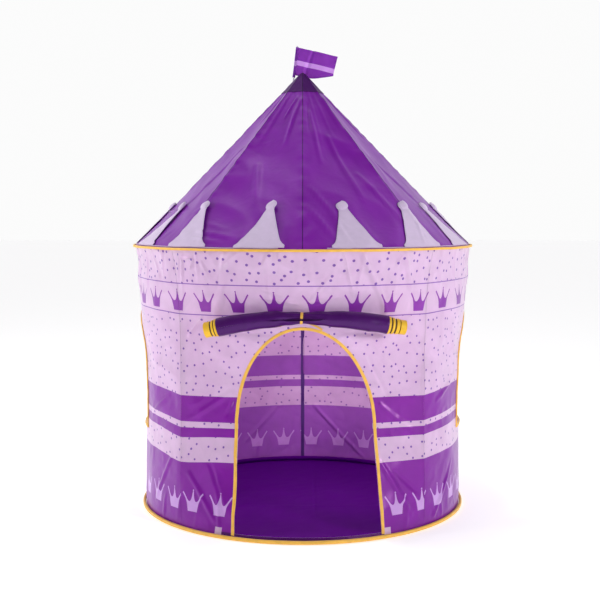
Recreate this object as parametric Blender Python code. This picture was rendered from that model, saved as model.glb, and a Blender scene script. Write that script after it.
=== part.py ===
"""A round pop-up play tent for children, with a cone roof, a rolled door flap and a small flag.

Sizes are metres and angles degrees. +Z is up, the door faces -Y, and the floor sheet rests at z = 0.
An angle round the tent starts at the door and grows towards +X.
"""

import math

import bmesh
import bpy
from mathutils import Matrix, Vector

# Tent as a whole
BASE_RADIUS = 0.4905  # outer face of the wall at the floor
EAVE_RADIUS = 0.525  # outer face of the wall where the roof starts
EAVE_HEIGHT = 0.800
ROOF_RISE = 0.550
CLOTH = 0.0015  # thickness of every sheet
GAP = 0.0003  # between pieces that touch
TRIM_GAP = 0.0005  # under bindings that are sewn on a curved sheet
CUT_OVERRUN = 0.080

# Facets round the tent, which every sheet shares
PANEL_ANGLE = 90
FACETS_PER_PANEL = 12
ROOF_FACETS = 6
RING_FACETS = 48
SEAM_EDGE_SHARE = 0.01  # of a panel's width, nearer than any facet but the one at its seam
SMOOTH_ANGLE = 35

# Wall: it follows the poles, is drawn in beside the door and flares out to the eave hoop
WALL_ROW_SHARES = (0, 0.125, 0.25, 0.375, 0.5, 0.625, 0.75, 0.875, 1)
FLARE_POWER = 7
FRONT_DRAW = 0.086
SIDE_BULGE = 0.014
BULGE_POWER = 3
WALL_SEAM_GAP = 0.0014

# Door
DOOR_SILL = 0.016
DOOR_FOOT_HALF_WIDTH = 0.204
DOOR_HALF_WIDTH = 0.195
DOOR_SPRING = 0.300
DOOR_RISE = 0.276
DOOR_LEAN = 0.0095  # how far its feet stand to the right of its top, as the slack cloth hangs
DOOR_LEAN_POWER = 3
DOOR_BINDING = 0.010
BINDING_THICKNESS = 0.0012
ARCH_STEPS = 14

# Windows
WINDOW_SILL = 0.256
WINDOW_HALF_WIDTH = 0.145
WINDOW_SPRING = 0.442
WINDOW_BINDING = 0.008
WINDOW_STEPS = 10

# Floor and seams
FLOOR_MARGIN = 0.0008
SEAM_TAPE_WIDTH = 0.012
SEAM_TAPE_CLEARANCE = 0.0008
EAVE_PIPING_RADIUS = 0.004
BASE_PIPING_RADIUS = 0.005

# Poles, hoops and their connectors
POLE_RADIUS = 0.0045
HOOP_RADIUS = 0.0040
ROD_SIDES = 12
SOCKET_CLEARANCE = 0.0006
SOCKET_WALL = 0.0034
SOCKET_SIDES = 8
SOCKET_FLOOR = 0.012  # from a connector's centre to the bottom of its sockets
SOCKET_MOUTH = 0.035
HOOP_TUCK = 0.003  # how far the eave hoop stands in from the wall's hem
POLE_TUCK = 0.0012  # how far the base connectors stand in from the wall
SLEEVE_FOOT = 0.050
SLEEVE_END = 0.012  # from the end of a wall sleeve to the connector's socket

# Roof cap, hub and flag post
ROOF_TOP_RADIUS = 0.050
ROOF_ROW_SHARES = (0, 0.25, 0.5, 0.75, 1)
ROOF_SEAM_GAP = 0.0014
CAP_RADIUS = 0.067
POST_X = -0.031
POST_Y = 0.014
POST_LEAN = 6.7
POST_RADIUS = 0.0025
POST_BORE_CLEARANCE = 0.0004
POST_TIP = 0.004  # above the flag
HUB_CORE = 0.0088  # radius of the hub's middle
BOSS_RADIUS = 0.0070
BOSS_HEIGHT = 0.034
BOSS_DROP = 0.0085  # from the cap's outer face to the top of the boss
BOSS_FLOOR = 0.008

# Flag
FLAG_LENGTH = 0.134
FLAG_HEIGHT = 0.0895
FLAG_LIFT = 0.031  # from the cap to the flag's lower edge, along the post
FLAG_SAG = 0.014
FLAG_HEM_RISE = 0.016  # how much the far lower corner curls up
FLAG_THICKNESS = 0.001
FLAG_COLUMNS = 8
FLAG_ROWS = 3

# Crown trim on the roof
CROWNS_PER_STRIP = 7
CROWN_FIRST_ANGLE = 15.15
CROWN_PITCH = 24.9
CROWN_TIP_LEANS = (-1, 4, 1, 0, -1, -4, 1)
CROWN_BASE_HALF_WIDTH = 0.070
CROWN_NECK_HALF_WIDTH = 0.0085
CROWN_LENGTH = 0.172
CROWN_BALL_RADIUS = 0.0155
CROWN_CONCAVITY = 1.55
CROWN_BAND = 0.008
CROWN_START = 0.007  # up the slope from the eave
CROWN_LIFT = 0.0018
CROWN_THICKNESS = 0.001
CROWN_CONE_ROWS = 4
BALL_ROW_ANGLES = (60, 95, 130, 160)

# Rolled door flap
ROLL_RADIUS = 0.0245
ROLL_WAIST_RADIUS = 0.0190
ROLL_HALF_LENGTH = 0.2325
ROLL_ABOVE_DOOR = 0.032  # from the top of the opening to the middle of the roll
ROLL_DROOP = 0.018
ROLL_BEND = 0.020
ROLL_WAIST_REACH = 0.045
ROLL_STATIONS = 18
ROLL_SIDES = 16
ROLL_SEAT_GAP = 0.0003
ROLL_END_LEFT = 0.035
ROLL_END_RIGHT = 0.050
ROLL_BAND_STEP = 0.0022
ROLL_BANDS = 3
TIE_WIDTH = 0.008
TIE_THICKNESS = 0.001
HINGE_RISE = 0.0015  # from the top of the roll's middle to the stitch line that it swings on

PURPLE = (0.196, 0.016, 0.335)
DEEP_PURPLE = (0.082, 0.008, 0.160)
LILAC = (0.694, 0.480, 0.740)
PALE_LILAC = (0.760, 0.650, 0.820)
YELLOW = (0.860, 0.440, 0.080)
FLOOR_PURPLE = (0.050, 0.002, 0.100)
POLE_WHITE = (0.720, 0.720, 0.730)
FITTING_GREY = (0.300, 0.290, 0.320)

CORNERS = {"front_right": 45, "back_right": 135, "back_left": 225, "front_left": 315}
SIDES = {"front": 0, "right": 90, "back": 180, "left": 270}
HALF_PANEL = PANEL_ANGLE / 2
QUARTER_PANEL = PANEL_ANGLE / 4


def around(radius, angle, height):
    turn = math.radians(angle)
    return Vector((radius * math.sin(turn), -radius * math.cos(turn), height))


def material(name, colour, roughness, metallic=0.0):
    made = bpy.data.materials.new(name)
    made.use_nodes = True
    shader = made.node_tree.nodes["Principled BSDF"]
    shader.inputs["Base Color"].default_value = (*colour, 1)
    shader.inputs["Roughness"].default_value = roughness
    shader.inputs["Metallic"].default_value = metallic
    made.diffuse_color = (*colour, 1)
    return made


def finished(name, bm, finish, smooth=True):
    """Turns a bmesh into an object of the scene."""
    mesh = bpy.data.meshes.new(name)
    bm.to_mesh(mesh)
    bm.free()
    if smooth:
        mesh.shade_smooth()
        mesh.set_sharp_from_angle(angle=math.radians(SMOOTH_ANGLE))
    if finish:
        mesh.materials.append(finish)
    made = bpy.data.objects.new(name, mesh)
    bpy.context.scene.collection.objects.link(made)
    return made


def skin(name, rings, finish, closed=False):
    """A solid through rings of points: with its ends capped, or closed into a loop."""
    bm = bmesh.new()
    loops = [[bm.verts.new(point) for point in ring] for ring in rings]
    pairs = list(zip(loops, loops[1:]))
    if closed:
        pairs.append((loops[-1], loops[0]))
    else:
        bm.faces.new(loops[0])
        bm.faces.new(loops[-1])
    for one, two in pairs:
        for index in range(len(one)):
            after = (index + 1) % len(one)
            bm.faces.new((one[index], one[after], two[after], two[index]))
    bmesh.ops.recalc_face_normals(bm, faces=bm.faces)
    return finished(name, bm, finish)


def sheet(name, columns, rows, place, thickness, finish):
    """A grid of cloth put where place(u, v) says, u and v from 0 to 1, and thickened inwards."""
    bm = bmesh.new()
    bmesh.ops.create_grid(bm, x_segments=columns, y_segments=rows, size=1)
    for vert in bm.verts:
        vert.co = place((vert.co.x + 1) / 2, (vert.co.y + 1) / 2)
    bmesh.ops.triangulate(bm, faces=bm.faces, quad_method="FIXED")
    made = finished(name, bm, finish)
    solid = made.modifiers.new("thickness", "SOLIDIFY")
    solid.thickness = thickness
    solid.offset = -1
    solid.use_even_offset = True
    return made


def circle(centre, axis, radius, sides, start=0.0):
    """Points round an axis, for a ring of skin."""
    turned = Vector(axis).to_track_quat("Z", "Y")
    points = []
    for index in range(sides):
        turn = 2 * math.pi * (index + start) / sides
        points.append(Vector(centre) + turned @ Vector((radius * math.cos(turn), radius * math.sin(turn), 0)))
    return points


def rod(name, start, end, radius, finish, sides=ROD_SIDES):
    """A straight round rod, with its origin at its start."""
    length = (Vector(end) - Vector(start)).length
    bm = bmesh.new()
    bmesh.ops.create_cone(bm, cap_ends=True, segments=sides, radius1=radius, radius2=radius, depth=length)
    bmesh.ops.translate(bm, verts=bm.verts, vec=(0, 0, length / 2))
    made = finished(name, bm, finish)
    made.location = start
    made.rotation_mode = "QUATERNION"
    made.rotation_quaternion = (Vector(end) - Vector(start)).to_track_quat("Z", "Y")
    return made


def tube(name, start, end, outer, inner, finish, sides=ROD_SIDES):
    axis = Vector(end) - Vector(start)
    rings = [circle(point, axis, radius, sides) for point, radius in
             ((start, outer), (end, outer), (end, inner), (start, inner))]
    return skin(name, rings, finish, closed=True)


def bent_rod(name, points, radius, finish, closed=False, resolution=1):
    """A rod along a line of points."""
    curve = bpy.data.curves.new(name, "CURVE")
    curve.dimensions = "3D"
    curve.bevel_depth = radius
    curve.bevel_resolution = resolution
    curve.use_fill_caps = not closed
    curve.materials.append(finish)
    spline = curve.splines.new("POLY")
    spline.points.add(len(points) - 1)
    for point, place in zip(spline.points, points):
        point.co = (*place, 1)
    spline.use_cyclic_u = closed
    made = bpy.data.objects.new(name, curve)
    bpy.context.scene.collection.objects.link(made)
    return made


def helper(made):
    """Keeps a cutting shape out of the finished tent."""
    made.hide_render = True
    made.display_type = "WIRE"
    return made


def cut(target, cutter, operation="DIFFERENCE"):
    boolean = target.modifiers.new(operation.lower(), "BOOLEAN")
    boolean.operation = operation
    boolean.solver = "EXACT"
    boolean.object = helper(cutter)


def folded(angle):
    """The angle from the middle of the wall panel that holds it."""
    return (angle + HALF_PANEL) % PANEL_ANGLE - HALF_PANEL


def at_seam(u):
    return u < SEAM_EDGE_SHARE or u > 1 - SEAM_EDGE_SHARE


def between_poles(angle):
    """0 at a pole and 1 half way to the next, as a cloth pulled straight between them goes."""
    corner = math.cos(math.radians(HALF_PANEL))
    return (1 - corner / math.cos(math.radians(folded(angle)))) / (1 - corner)


def wall_radius(angle, height):
    """Outer face of the wall."""
    share = min(max(height / EAVE_HEIGHT, 0), 1)
    crease = BASE_RADIUS + (EAVE_RADIUS - BASE_RADIUS) * share**FLARE_POWER
    if abs((angle + 180) % 360 - 180) <= HALF_PANEL:
        pull = math.sin(math.pi * share) ** (1 if share < 1 / 2 else 2)
        return crease - FRONT_DRAW * pull * between_poles(angle)
    return crease + SIDE_BULGE * math.sin(math.pi * share**BULGE_POWER) ** 2 * between_poles(angle)


def wall_place(middle, lift=0.0):
    """Where the points of a wall panel go: u runs round the tent and v up it."""
    last_row = len(WALL_ROW_SHARES) - 1

    def place(u, v):
        height = EAVE_HEIGHT * WALL_ROW_SHARES[round(v * last_row)]
        angle = middle + PANEL_ANGLE * (u - 1 / 2)
        radius = wall_radius(angle, height)
        if at_seam(u):
            angle += math.degrees(WALL_SEAM_GAP / 2 / radius) * (1 if u < 1 / 2 else -1)
        height = min(max(height, CLOTH), EAVE_HEIGHT - GAP)  # the floor sheet alone meets the ground
        return around(radius + lift, angle, height)

    return place


def wall_panel(name, middle, finish, lift=0.0, thickness=CLOTH):
    rows = len(WALL_ROW_SHARES) - 1
    return sheet(name, FACETS_PER_PANEL, rows, wall_place(middle, lift), thickness, finish)


def door_outline(grow=0.0, sill=DOOR_SILL):
    """Points across and up the wall, from the left foot over the arch to the right foot."""
    points = [(-DOOR_FOOT_HALF_WIDTH - grow, sill)]
    for step in range(ARCH_STEPS + 1):
        turn = math.pi * step / ARCH_STEPS
        across = -(DOOR_HALF_WIDTH + grow) * math.cos(turn)
        points.append((across, DOOR_SPRING + (DOOR_RISE + grow) * math.sin(turn)))
    points.append((DOOR_FOOT_HALF_WIDTH + grow, sill))
    top = DOOR_SPRING + DOOR_RISE
    return [(across + DOOR_LEAN * (1 - (height / top) ** DOOR_LEAN_POWER), height) for across, height in points]


def window_outline(grow=0.0):
    points = [(-WINDOW_HALF_WIDTH - grow, WINDOW_SILL - grow)]
    for step in range(WINDOW_STEPS + 1):
        turn = math.pi * step / WINDOW_STEPS
        across = -(WINDOW_HALF_WIDTH + grow) * math.cos(turn)
        points.append((across, WINDOW_SPRING + (WINDOW_HALF_WIDTH + grow) * math.sin(turn)))
    points.append((WINDOW_HALF_WIDTH + grow, WINDOW_SILL - grow))
    return points


def outward_frame(middle):
    """Turns (across, outwards, up) at the front of the tent to the side that faces the given angle."""
    return Matrix.Rotation(math.radians(middle), 3, "Z")


def prism(name, outline, middle):
    """A block through the wall, with the outline as its section."""
    turned = outward_frame(middle)
    near = -(BASE_RADIUS - FRONT_DRAW - CUT_OVERRUN)
    far = -(EAVE_RADIUS + CUT_OVERRUN)
    rings = [[turned @ Vector((across, depth, height)) for across, height in outline] for depth in (near, far)]
    return skin(name, rings, None)


def band_prism(name, inner, outer, middle, closed):
    """A block through the wall, with the strip between two outlines as its section."""
    turned = outward_frame(middle)
    near = -(BASE_RADIUS - FRONT_DRAW - CUT_OVERRUN)
    far = -(EAVE_RADIUS + CUT_OVERRUN)
    rings = []
    for (inner_x, inner_z), (outer_x, outer_z) in zip(inner, outer):
        corners = ((inner_x, near, inner_z), (outer_x, near, outer_z), (outer_x, far, outer_z), (inner_x, far, inner_z))
        rings.append([turned @ Vector(corner) for corner in corners])
    return skin(name, rings, None, closed)


def make_walls(cloths):
    front = wall_panel("wall_front", SIDES["front"], cloths["lilac"])
    cut(front, prism("door_cutter", door_outline(), SIDES["front"]))
    for side in ("left", "right"):
        wall = wall_panel(f"wall_{side}", SIDES[side], cloths["lilac"])
        cut(wall, prism(f"window_cutter_{side}", window_outline(), SIDES[side]))
    wall_panel("wall_back", SIDES["back"], cloths["lilac"])

    inward = CLOTH + SEAM_TAPE_CLEARANCE
    half_angle = math.degrees(SEAM_TAPE_WIDTH / 2 / BASE_RADIUS)
    last_row = len(WALL_ROW_SHARES) - 2  # the tape ends one row under the eave

    def tape_place(u, v):
        height = EAVE_HEIGHT * WALL_ROW_SHARES[round(v * last_row)]
        angle = SIDES["back"] + half_angle * (2 * u - 1)
        radius = wall_radius(SIDES["back"], height) - inward
        return around(radius, angle, max(height, CLOTH + 2 * GAP))

    sheet("back_seam_tape", 2, last_row, tape_place, CLOTH, cloths["deep_purple"])


def make_bindings(cloths):
    """Yellow tape round each opening, cut from a sheet that lies on the wall."""
    lift = (TRIM_GAP + BINDING_THICKNESS) / math.cos(CREASE_FOLD)
    foot = 2 * BASE_PIPING_RADIUS + 2 * GAP
    openings = (
        ("door_binding", "front", door_outline(0, foot), door_outline(DOOR_BINDING, foot), False),
        ("window_binding_left", "left", window_outline(), window_outline(WINDOW_BINDING), True),
        ("window_binding_right", "right", window_outline(), window_outline(WINDOW_BINDING), True),
    )
    for name, side, inner, outer, closed in openings:
        tape = wall_panel(name, SIDES[side], cloths["yellow"], lift, BINDING_THICKNESS)
        cut(tape, band_prism(f"{name}_shape", inner, outer, SIDES[side], closed), "INTERSECT")


def ring_points(radius, height):
    return [around(radius, 360 * step / RING_FACETS, height) for step in range(RING_FACETS)]


def make_floor_and_piping(cloths):
    radius = BASE_RADIUS - CLOTH - FLOOR_MARGIN
    rings = [ring_points(radius, height) for height in (0, CLOTH)]
    skin("floor_sheet", rings, cloths["floor"])
    eave = ring_points(EAVE_RADIUS + 2 * GAP + EAVE_PIPING_RADIUS, EAVE_HEIGHT)
    bent_rod("eave_piping", eave, EAVE_PIPING_RADIUS, cloths["yellow"], closed=True)
    base = ring_points(BASE_RADIUS + 2 * GAP + BASE_PIPING_RADIUS, BASE_PIPING_RADIUS + GAP)
    bent_rod("base_piping", base, BASE_PIPING_RADIUS, cloths["yellow"], closed=True)


# Roof: straight from eave to peak along each ridge and seam, round at the eave and eight-sided above
def roof_radius(angle, share):
    step = 2 * QUARTER_PANEL
    off_middle = (angle % step) - QUARTER_PANEL
    flat = math.cos(math.radians(QUARTER_PANEL)) / math.cos(math.radians(off_middle))
    faceted = min(2 * share, 1)
    return EAVE_RADIUS * (1 - share) * (1 - faceted * (1 - flat))


def roof_point(angle, share):
    return around(roof_radius(angle, share), angle, EAVE_HEIGHT + ROOF_RISE * share)


RIDGE_OUT = Vector((ROOF_RISE, 0, EAVE_RADIUS)).normalized()
SLOPE_LENGTH = math.hypot(EAVE_RADIUS, ROOF_RISE)


def roof_panel_normal():
    """Outward normal of a flat roof panel, with X across from its ridge's plane."""
    flat = EAVE_RADIUS * math.cos(math.radians(QUARTER_PANEL))
    down = Vector((ROOF_RISE, 0, flat)).normalized()
    turn = math.radians(QUARTER_PANEL)
    return Vector((down.x * math.cos(turn), down.x * math.sin(turn), down.z))


SOCKET_RADIUS = POLE_RADIUS + SOCKET_CLEARANCE + SOCKET_WALL
RIDGE_FOLD = math.acos(RIDGE_OUT.dot(roof_panel_normal()))
RIDGE_DEPTH = (SOCKET_RADIUS + CLOTH + 2 * GAP) / math.cos(RIDGE_FOLD)


def crease_fold():
    """How far the front wall turns in from the round wall where it leaves a pole."""
    step = PANEL_ANGLE / FACETS_PER_PANEL
    inner_angle = HALF_PANEL - step
    drawn = FRONT_DRAW * between_poles(inner_angle)
    return math.atan2(drawn, BASE_RADIUS * math.radians(step)) + math.radians(step / 2)


CREASE_FOLD = crease_fold()
POLE_DEPTH = (SOCKET_RADIUS + POLE_TUCK + CLOTH + GAP) / math.cos(CREASE_FOLD)
POLE_RING = BASE_RADIUS - POLE_DEPTH
BASE_NODE_HEIGHT = CLOTH + 2 * GAP + SOCKET_RADIUS
EAVE_HOOP_RING = EAVE_RADIUS - CLOTH - GAP - SOCKET_RADIUS - HOOP_TUCK
EAVE_NODE_HEIGHT = EAVE_HEIGHT - (RIDGE_DEPTH - (EAVE_RADIUS - EAVE_HOOP_RING) * RIDGE_OUT.x) / RIDGE_OUT.z
POLE_TOP_NODE_HEIGHT = EAVE_NODE_HEIGHT - (EAVE_HOOP_RING - POLE_RING)
PEAK_HEIGHT = EAVE_HEIGHT + ROOF_RISE
HUB_HEIGHT = PEAK_HEIGHT - RIDGE_DEPTH / RIDGE_OUT.z


def make_roof(cloths):
    first = (CLOTH * RIDGE_OUT.z + 2 * GAP) / ROOF_RISE
    last = 1 - ROOF_TOP_RADIUS / EAVE_RADIUS
    last_row = len(ROOF_ROW_SHARES) - 1
    names = ("front_right", "right_front", "right_back", "back_right",
             "back_left", "left_back", "left_front", "front_left")
    for number, name in enumerate(names):
        start = HALF_PANEL * number

        def place(u, v, start=start):
            share = first + (last - first) * ROOF_ROW_SHARES[round(v * last_row)]
            angle = start + HALF_PANEL * u
            radius = roof_radius(angle, share)
            if at_seam(u):
                angle += math.degrees(ROOF_SEAM_GAP / 2 / radius) * (1 if u < 1 / 2 else -1)
            return around(radius, angle, EAVE_HEIGHT + ROOF_RISE * share)

        sheet(f"roof_panel_{name}", ROOF_FACETS, last_row, place, CLOTH, cloths["purple"])

    # The cap is a flat-sided cone that lies on the tops of the eight panels
    corners = [HALF_PANEL * number for number in range(len(names))]
    outward = roof_panel_normal()
    inside = 2 * GAP / outward.z
    outside = inside + CLOTH / outward.z
    bm = bmesh.new()
    shells = []
    for rise in (inside, outside):
        rim = PEAK_HEIGHT - ROOF_RISE * CAP_RADIUS / EAVE_RADIUS + rise
        peak = bm.verts.new((0, 0, PEAK_HEIGHT + rise))
        foot = [bm.verts.new(around(CAP_RADIUS, angle, rim)) for angle in corners]
        for index, vert in enumerate(foot):
            bm.faces.new((vert, foot[(index + 1) % len(foot)], peak))
        shells.append(foot)
    for index in range(len(corners)):
        after = (index + 1) % len(corners)
        bm.faces.new((shells[0][index], shells[0][after], shells[1][after], shells[1][index]))
    bmesh.ops.recalc_face_normals(bm, faces=bm.faces)
    cap = finished("roof_cap", bm, cloths["deep_purple"], smooth=False)
    hole = POST_RADIUS + POST_BORE_CLEARANCE + GAP
    cut(cap, rod("cap_eyelet_cutter", post_point(-CUT_OVERRUN / 2), post_point(CUT_OVERRUN / 2), hole, None))


# Flag post: it stands beside the peak and leans a little
def cap_height(x, y):
    """Outer face of the roof panels' planes near the peak."""
    angle = math.degrees(math.atan2(x, -y))
    return PEAK_HEIGHT - ROOF_RISE * math.hypot(x, y) / (roof_radius(angle, 1 / 2) * 2)


POST_AXIS = Vector((math.sin(math.radians(POST_LEAN)), 0, math.cos(math.radians(POST_LEAN))))
POST_FOOT = Vector((POST_X, POST_Y, cap_height(POST_X, POST_Y)))


def post_point(along):
    """A point on the post's axis, counted from where it passes the roof."""
    return POST_FOOT + POST_AXIS * along


def node_points(angle):
    """Centres of the connectors' bodies on one corner, and which way each pole or hoop leaves them."""
    base = around(POLE_RING, angle, BASE_NODE_HEIGHT)
    eave = around(EAVE_HOOP_RING, angle, EAVE_NODE_HEIGHT)
    pole_top = around(POLE_RING, angle, POLE_TOP_NODE_HEIGHT)
    hub = Vector((0, 0, HUB_HEIGHT))
    return base, eave, pole_top, hub


def hoop_angles(ring):
    """Angles of a quarter hoop's points, from one corner to the next."""
    floor = math.degrees(SOCKET_FLOOR / ring)
    mouth = math.degrees(SOCKET_MOUTH / ring)
    step = PANEL_ANGLE / FACETS_PER_PANEL
    inner = [step * count for count in range(1, FACETS_PER_PANEL)]
    inner = [angle for angle in inner if mouth + step / 2 < angle < PANEL_ANGLE - mouth - step / 2]
    return [floor, mouth, *inner, PANEL_ANGLE - mouth, PANEL_ANGLE - floor]


def fitting(name, balls, arms, bores):
    """A moulded connector: round arms joined at balls, with a socket bored into each."""
    shapes = bpy.data.collections.new(f"{name}_arms")
    holes = bpy.data.collections.new(f"{name}_bores")
    first, *others = arms
    body = rod(f"{name}_body", *first, None, SOCKET_SIDES)
    for start, end, radius in others:
        shapes.objects.link(rod(f"{name}_arm", start, end, radius, None, SOCKET_SIDES))
    for centre, radius in balls:
        bm = bmesh.new()
        bmesh.ops.create_icosphere(bm, subdivisions=2, radius=radius)
        ball = finished(f"{name}_ball", bm, None)
        ball.location = centre
        shapes.objects.link(ball)
    for start, end, radius in bores:
        holes.objects.link(rod(f"{name}_bore", start, end, radius, None, SOCKET_SIDES))
    for group, operation in ((shapes, "UNION"), (holes, "DIFFERENCE")):
        boolean = body.modifiers.new(operation.lower(), "BOOLEAN")
        boolean.operation = operation
        boolean.solver = "EXACT"
        boolean.operand_type = "COLLECTION"
        boolean.collection = group
    bpy.context.view_layer.update()
    evaluated = body.evaluated_get(bpy.context.evaluated_depsgraph_get())
    mesh = bpy.data.meshes.new_from_object(evaluated)
    mesh.transform(body.matrix_world)
    for made in [body, *shapes.objects, *holes.objects]:
        bpy.data.objects.remove(made, do_unlink=True)
    for group in (shapes, holes):
        bpy.data.collections.remove(group)
    return mesh


def socket(centre, towards, rod_radius=POLE_RADIUS):
    """The arm and the bore of a socket that leaves a centre towards a point."""
    way = (Vector(towards) - Vector(centre)).normalized()
    clear = rod_radius + SOCKET_CLEARANCE
    arm = (centre + way * rod_radius, centre + way * SOCKET_MOUTH, clear + SOCKET_WALL)
    bore = (centre + way * (SOCKET_FLOOR - GAP), centre + way * (SOCKET_MOUTH + SOCKET_FLOOR),
            clear / math.cos(math.pi / SOCKET_SIDES))
    return arm, bore


def make_frame(finishes):
    """Poles, hoops and connectors. The connectors of one corner are moulded once and copied to the others."""
    base, eave, pole_top, hub = node_points(0)
    base_mouth = math.degrees(SOCKET_MOUTH / POLE_RING)
    eave_mouth = math.degrees(SOCKET_MOUTH / EAVE_HOOP_RING)
    base_sockets = [socket(base, pole_top)]
    eave_sockets = [socket(eave, hub), socket(pole_top, base)]
    for turn in (-1, 1):
        base_end = around(POLE_RING, turn * base_mouth, BASE_NODE_HEIGHT)
        eave_end = around(EAVE_HOOP_RING, turn * eave_mouth, EAVE_NODE_HEIGHT)
        base_sockets.append(socket(base, base_end, HOOP_RADIUS))
        eave_sockets.append(socket(eave, eave_end, HOOP_RADIUS))
    neck = (eave, pole_top, POLE_RADIUS + SOCKET_WALL)
    ball = SOCKET_RADIUS + GAP
    base_mesh = fitting("base_connector", [(base, ball)],
                        [arm for arm, _ in base_sockets], [bore for _, bore in base_sockets])
    eave_mesh = fitting("eave_connector", [(eave, ball), (pole_top, ball)],
                        [neck] + [arm for arm, _ in eave_sockets], [bore for _, bore in eave_sockets])
    for mesh in (base_mesh, eave_mesh):
        mesh.materials.clear()
        mesh.materials.append(finishes["fitting"])

    for corner, angle in CORNERS.items():
        for kind, mesh in (("base_connector", base_mesh), ("eave_connector", eave_mesh)):
            made = bpy.data.objects.new(f"{kind}_{corner}", mesh)
            made.rotation_euler.z = math.radians(angle)
            bpy.context.scene.collection.objects.link(made)
        base, eave, pole_top, hub = node_points(angle)
        way = (pole_top - base).normalized() * SOCKET_FLOOR
        rod(f"wall_pole_{corner}", base + way, pole_top - way, POLE_RADIUS, finishes["pole"])
        way = (hub - eave).normalized() * SOCKET_FLOOR
        rod(f"roof_pole_{corner}", eave + way, hub - way * 2, POLE_RADIUS, finishes["pole"])
        fold = CREASE_FOLD if corner.startswith("front") else math.radians(PANEL_ANGLE / FACETS_PER_PANEL / 2)
        facet = 2 * math.pi / ROD_SIDES  # the sleeve has a flat towards the crease, and a corner beside it
        corner_reach = math.cos(abs(fold % facet - facet / 2))
        outer = (POLE_DEPTH * math.cos(fold) - CLOTH - GAP) / corner_reach
        foot = around(POLE_RING, angle, SLEEVE_FOOT)
        top = around(POLE_RING, angle, POLE_TOP_NODE_HEIGHT - SOCKET_MOUTH - SLEEVE_END)
        tube(f"wall_sleeve_{corner}", foot, top, outer, outer - CLOTH, finishes["lilac"])

    for side, middle in SIDES.items():
        start = middle - HALF_PANEL
        for kind, ring, height in (("base_hoop", POLE_RING, BASE_NODE_HEIGHT),
                                   ("eave_hoop", EAVE_HOOP_RING, EAVE_NODE_HEIGHT)):
            points = [around(ring, start + angle, height) for angle in hoop_angles(ring)]
            bent_rod(f"{kind}_{side}", points, HOOP_RADIUS, finishes["pole"])


def make_hub(finishes):
    """The peak's hub: a socket for each roof pole, and an upright one for the flag post."""
    sockets = []
    for angle in CORNERS.values():
        _, eave, _, hub = node_points(angle)
        way = (eave - hub).normalized()
        arm, bore = socket(hub + way * SOCKET_FLOOR, eave)
        sockets.append(((hub + way * HUB_CORE / 2, *arm[1:]), bore))
    boss = (post_point(-BOSS_DROP - BOSS_HEIGHT), post_point(-BOSS_DROP), BOSS_RADIUS)
    bore_radius = (POST_RADIUS + POST_BORE_CLEARANCE) / math.cos(math.pi / SOCKET_SIDES)
    bore = (post_point(-BOSS_DROP - BOSS_HEIGHT + BOSS_FLOOR), post_point(0), bore_radius)
    core = (hub - Vector((0, 0, 2 * HUB_CORE)), hub + Vector((0, 0, HUB_CORE / 2)), HUB_CORE)
    mesh = fitting("apex_hub", [], [core] + [arm for arm, _ in sockets] + [boss],
                   [hole for _, hole in sockets] + [bore])
    mesh.materials.clear()
    mesh.materials.append(finishes["fitting"])
    made = bpy.data.objects.new("apex_hub", mesh)
    bpy.context.scene.collection.objects.link(made)


def make_flag(finishes):
    """The post slides out of the hub along its own axis, and the flag turns on the post."""
    bottom = post_point(-BOSS_DROP - BOSS_HEIGHT + BOSS_FLOOR + GAP)
    top = post_point(FLAG_LIFT + FLAG_HEIGHT + POST_TIP)
    rod("flag_post", bottom, top, POST_RADIUS, finishes["pole"], SOCKET_SIDES)

    inner = (POST_RADIUS + POST_BORE_CLEARANCE) / math.cos(math.pi / SOCKET_SIDES)
    outer = inner + FLAG_THICKNESS

    def place(u, v):
        lower = FLAG_HEM_RISE * u**3
        up = lower + (FLAG_HEIGHT - lower) * v - FLAG_SAG * u
        return Vector((FLAG_LENGTH * u, outer - FLAG_THICKNESS * 2 / 3, up))

    flag = sheet("flag", FLAG_COLUMNS, FLAG_ROWS, place, FLAG_THICKNESS, finishes["purple"])
    hem = tube("flag_hem", (0, 0, 0), (0, 0, FLAG_HEIGHT), outer, inner, None, SOCKET_SIDES)
    for made in (flag, hem):
        made.location = post_point(FLAG_LIFT)
        made.rotation_euler.y = math.radians(POST_LEAN)
    cut(flag, hem, "UNION")


# Crown trim: a narrow band along the eave with a row of tall crown points
def crown_rows():
    """Half the width and the distance up the slope of each row of a crown point, from the band up."""
    ball_middle = CROWN_LENGTH - CROWN_BALL_RADIUS
    neck = ball_middle - CROWN_BALL_RADIUS
    rows = []
    for row in range(CROWN_CONE_ROWS + 1):
        share = row / CROWN_CONE_ROWS
        wide = CROWN_BASE_HALF_WIDTH - CROWN_NECK_HALF_WIDTH
        width = CROWN_NECK_HALF_WIDTH + wide * (1 - share) ** CROWN_CONCAVITY
        rows.append((width, CROWN_BAND + (neck - CROWN_BAND) * share))
    for angle in BALL_ROW_ANGLES:
        turn = math.radians(angle)
        rows.append((CROWN_BALL_RADIUS * math.sin(turn), ball_middle - CROWN_BALL_RADIUS * math.cos(turn)))
    return rows


def on_roof(angle, up, lift):
    """A point on the roof, at a distance up the slope from the eave and lifted off the cloth."""
    share = up / SLOPE_LENGTH
    outward = around(RIDGE_OUT.x, angle, RIDGE_OUT.z)
    return roof_point(angle, share) + outward * lift


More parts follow.
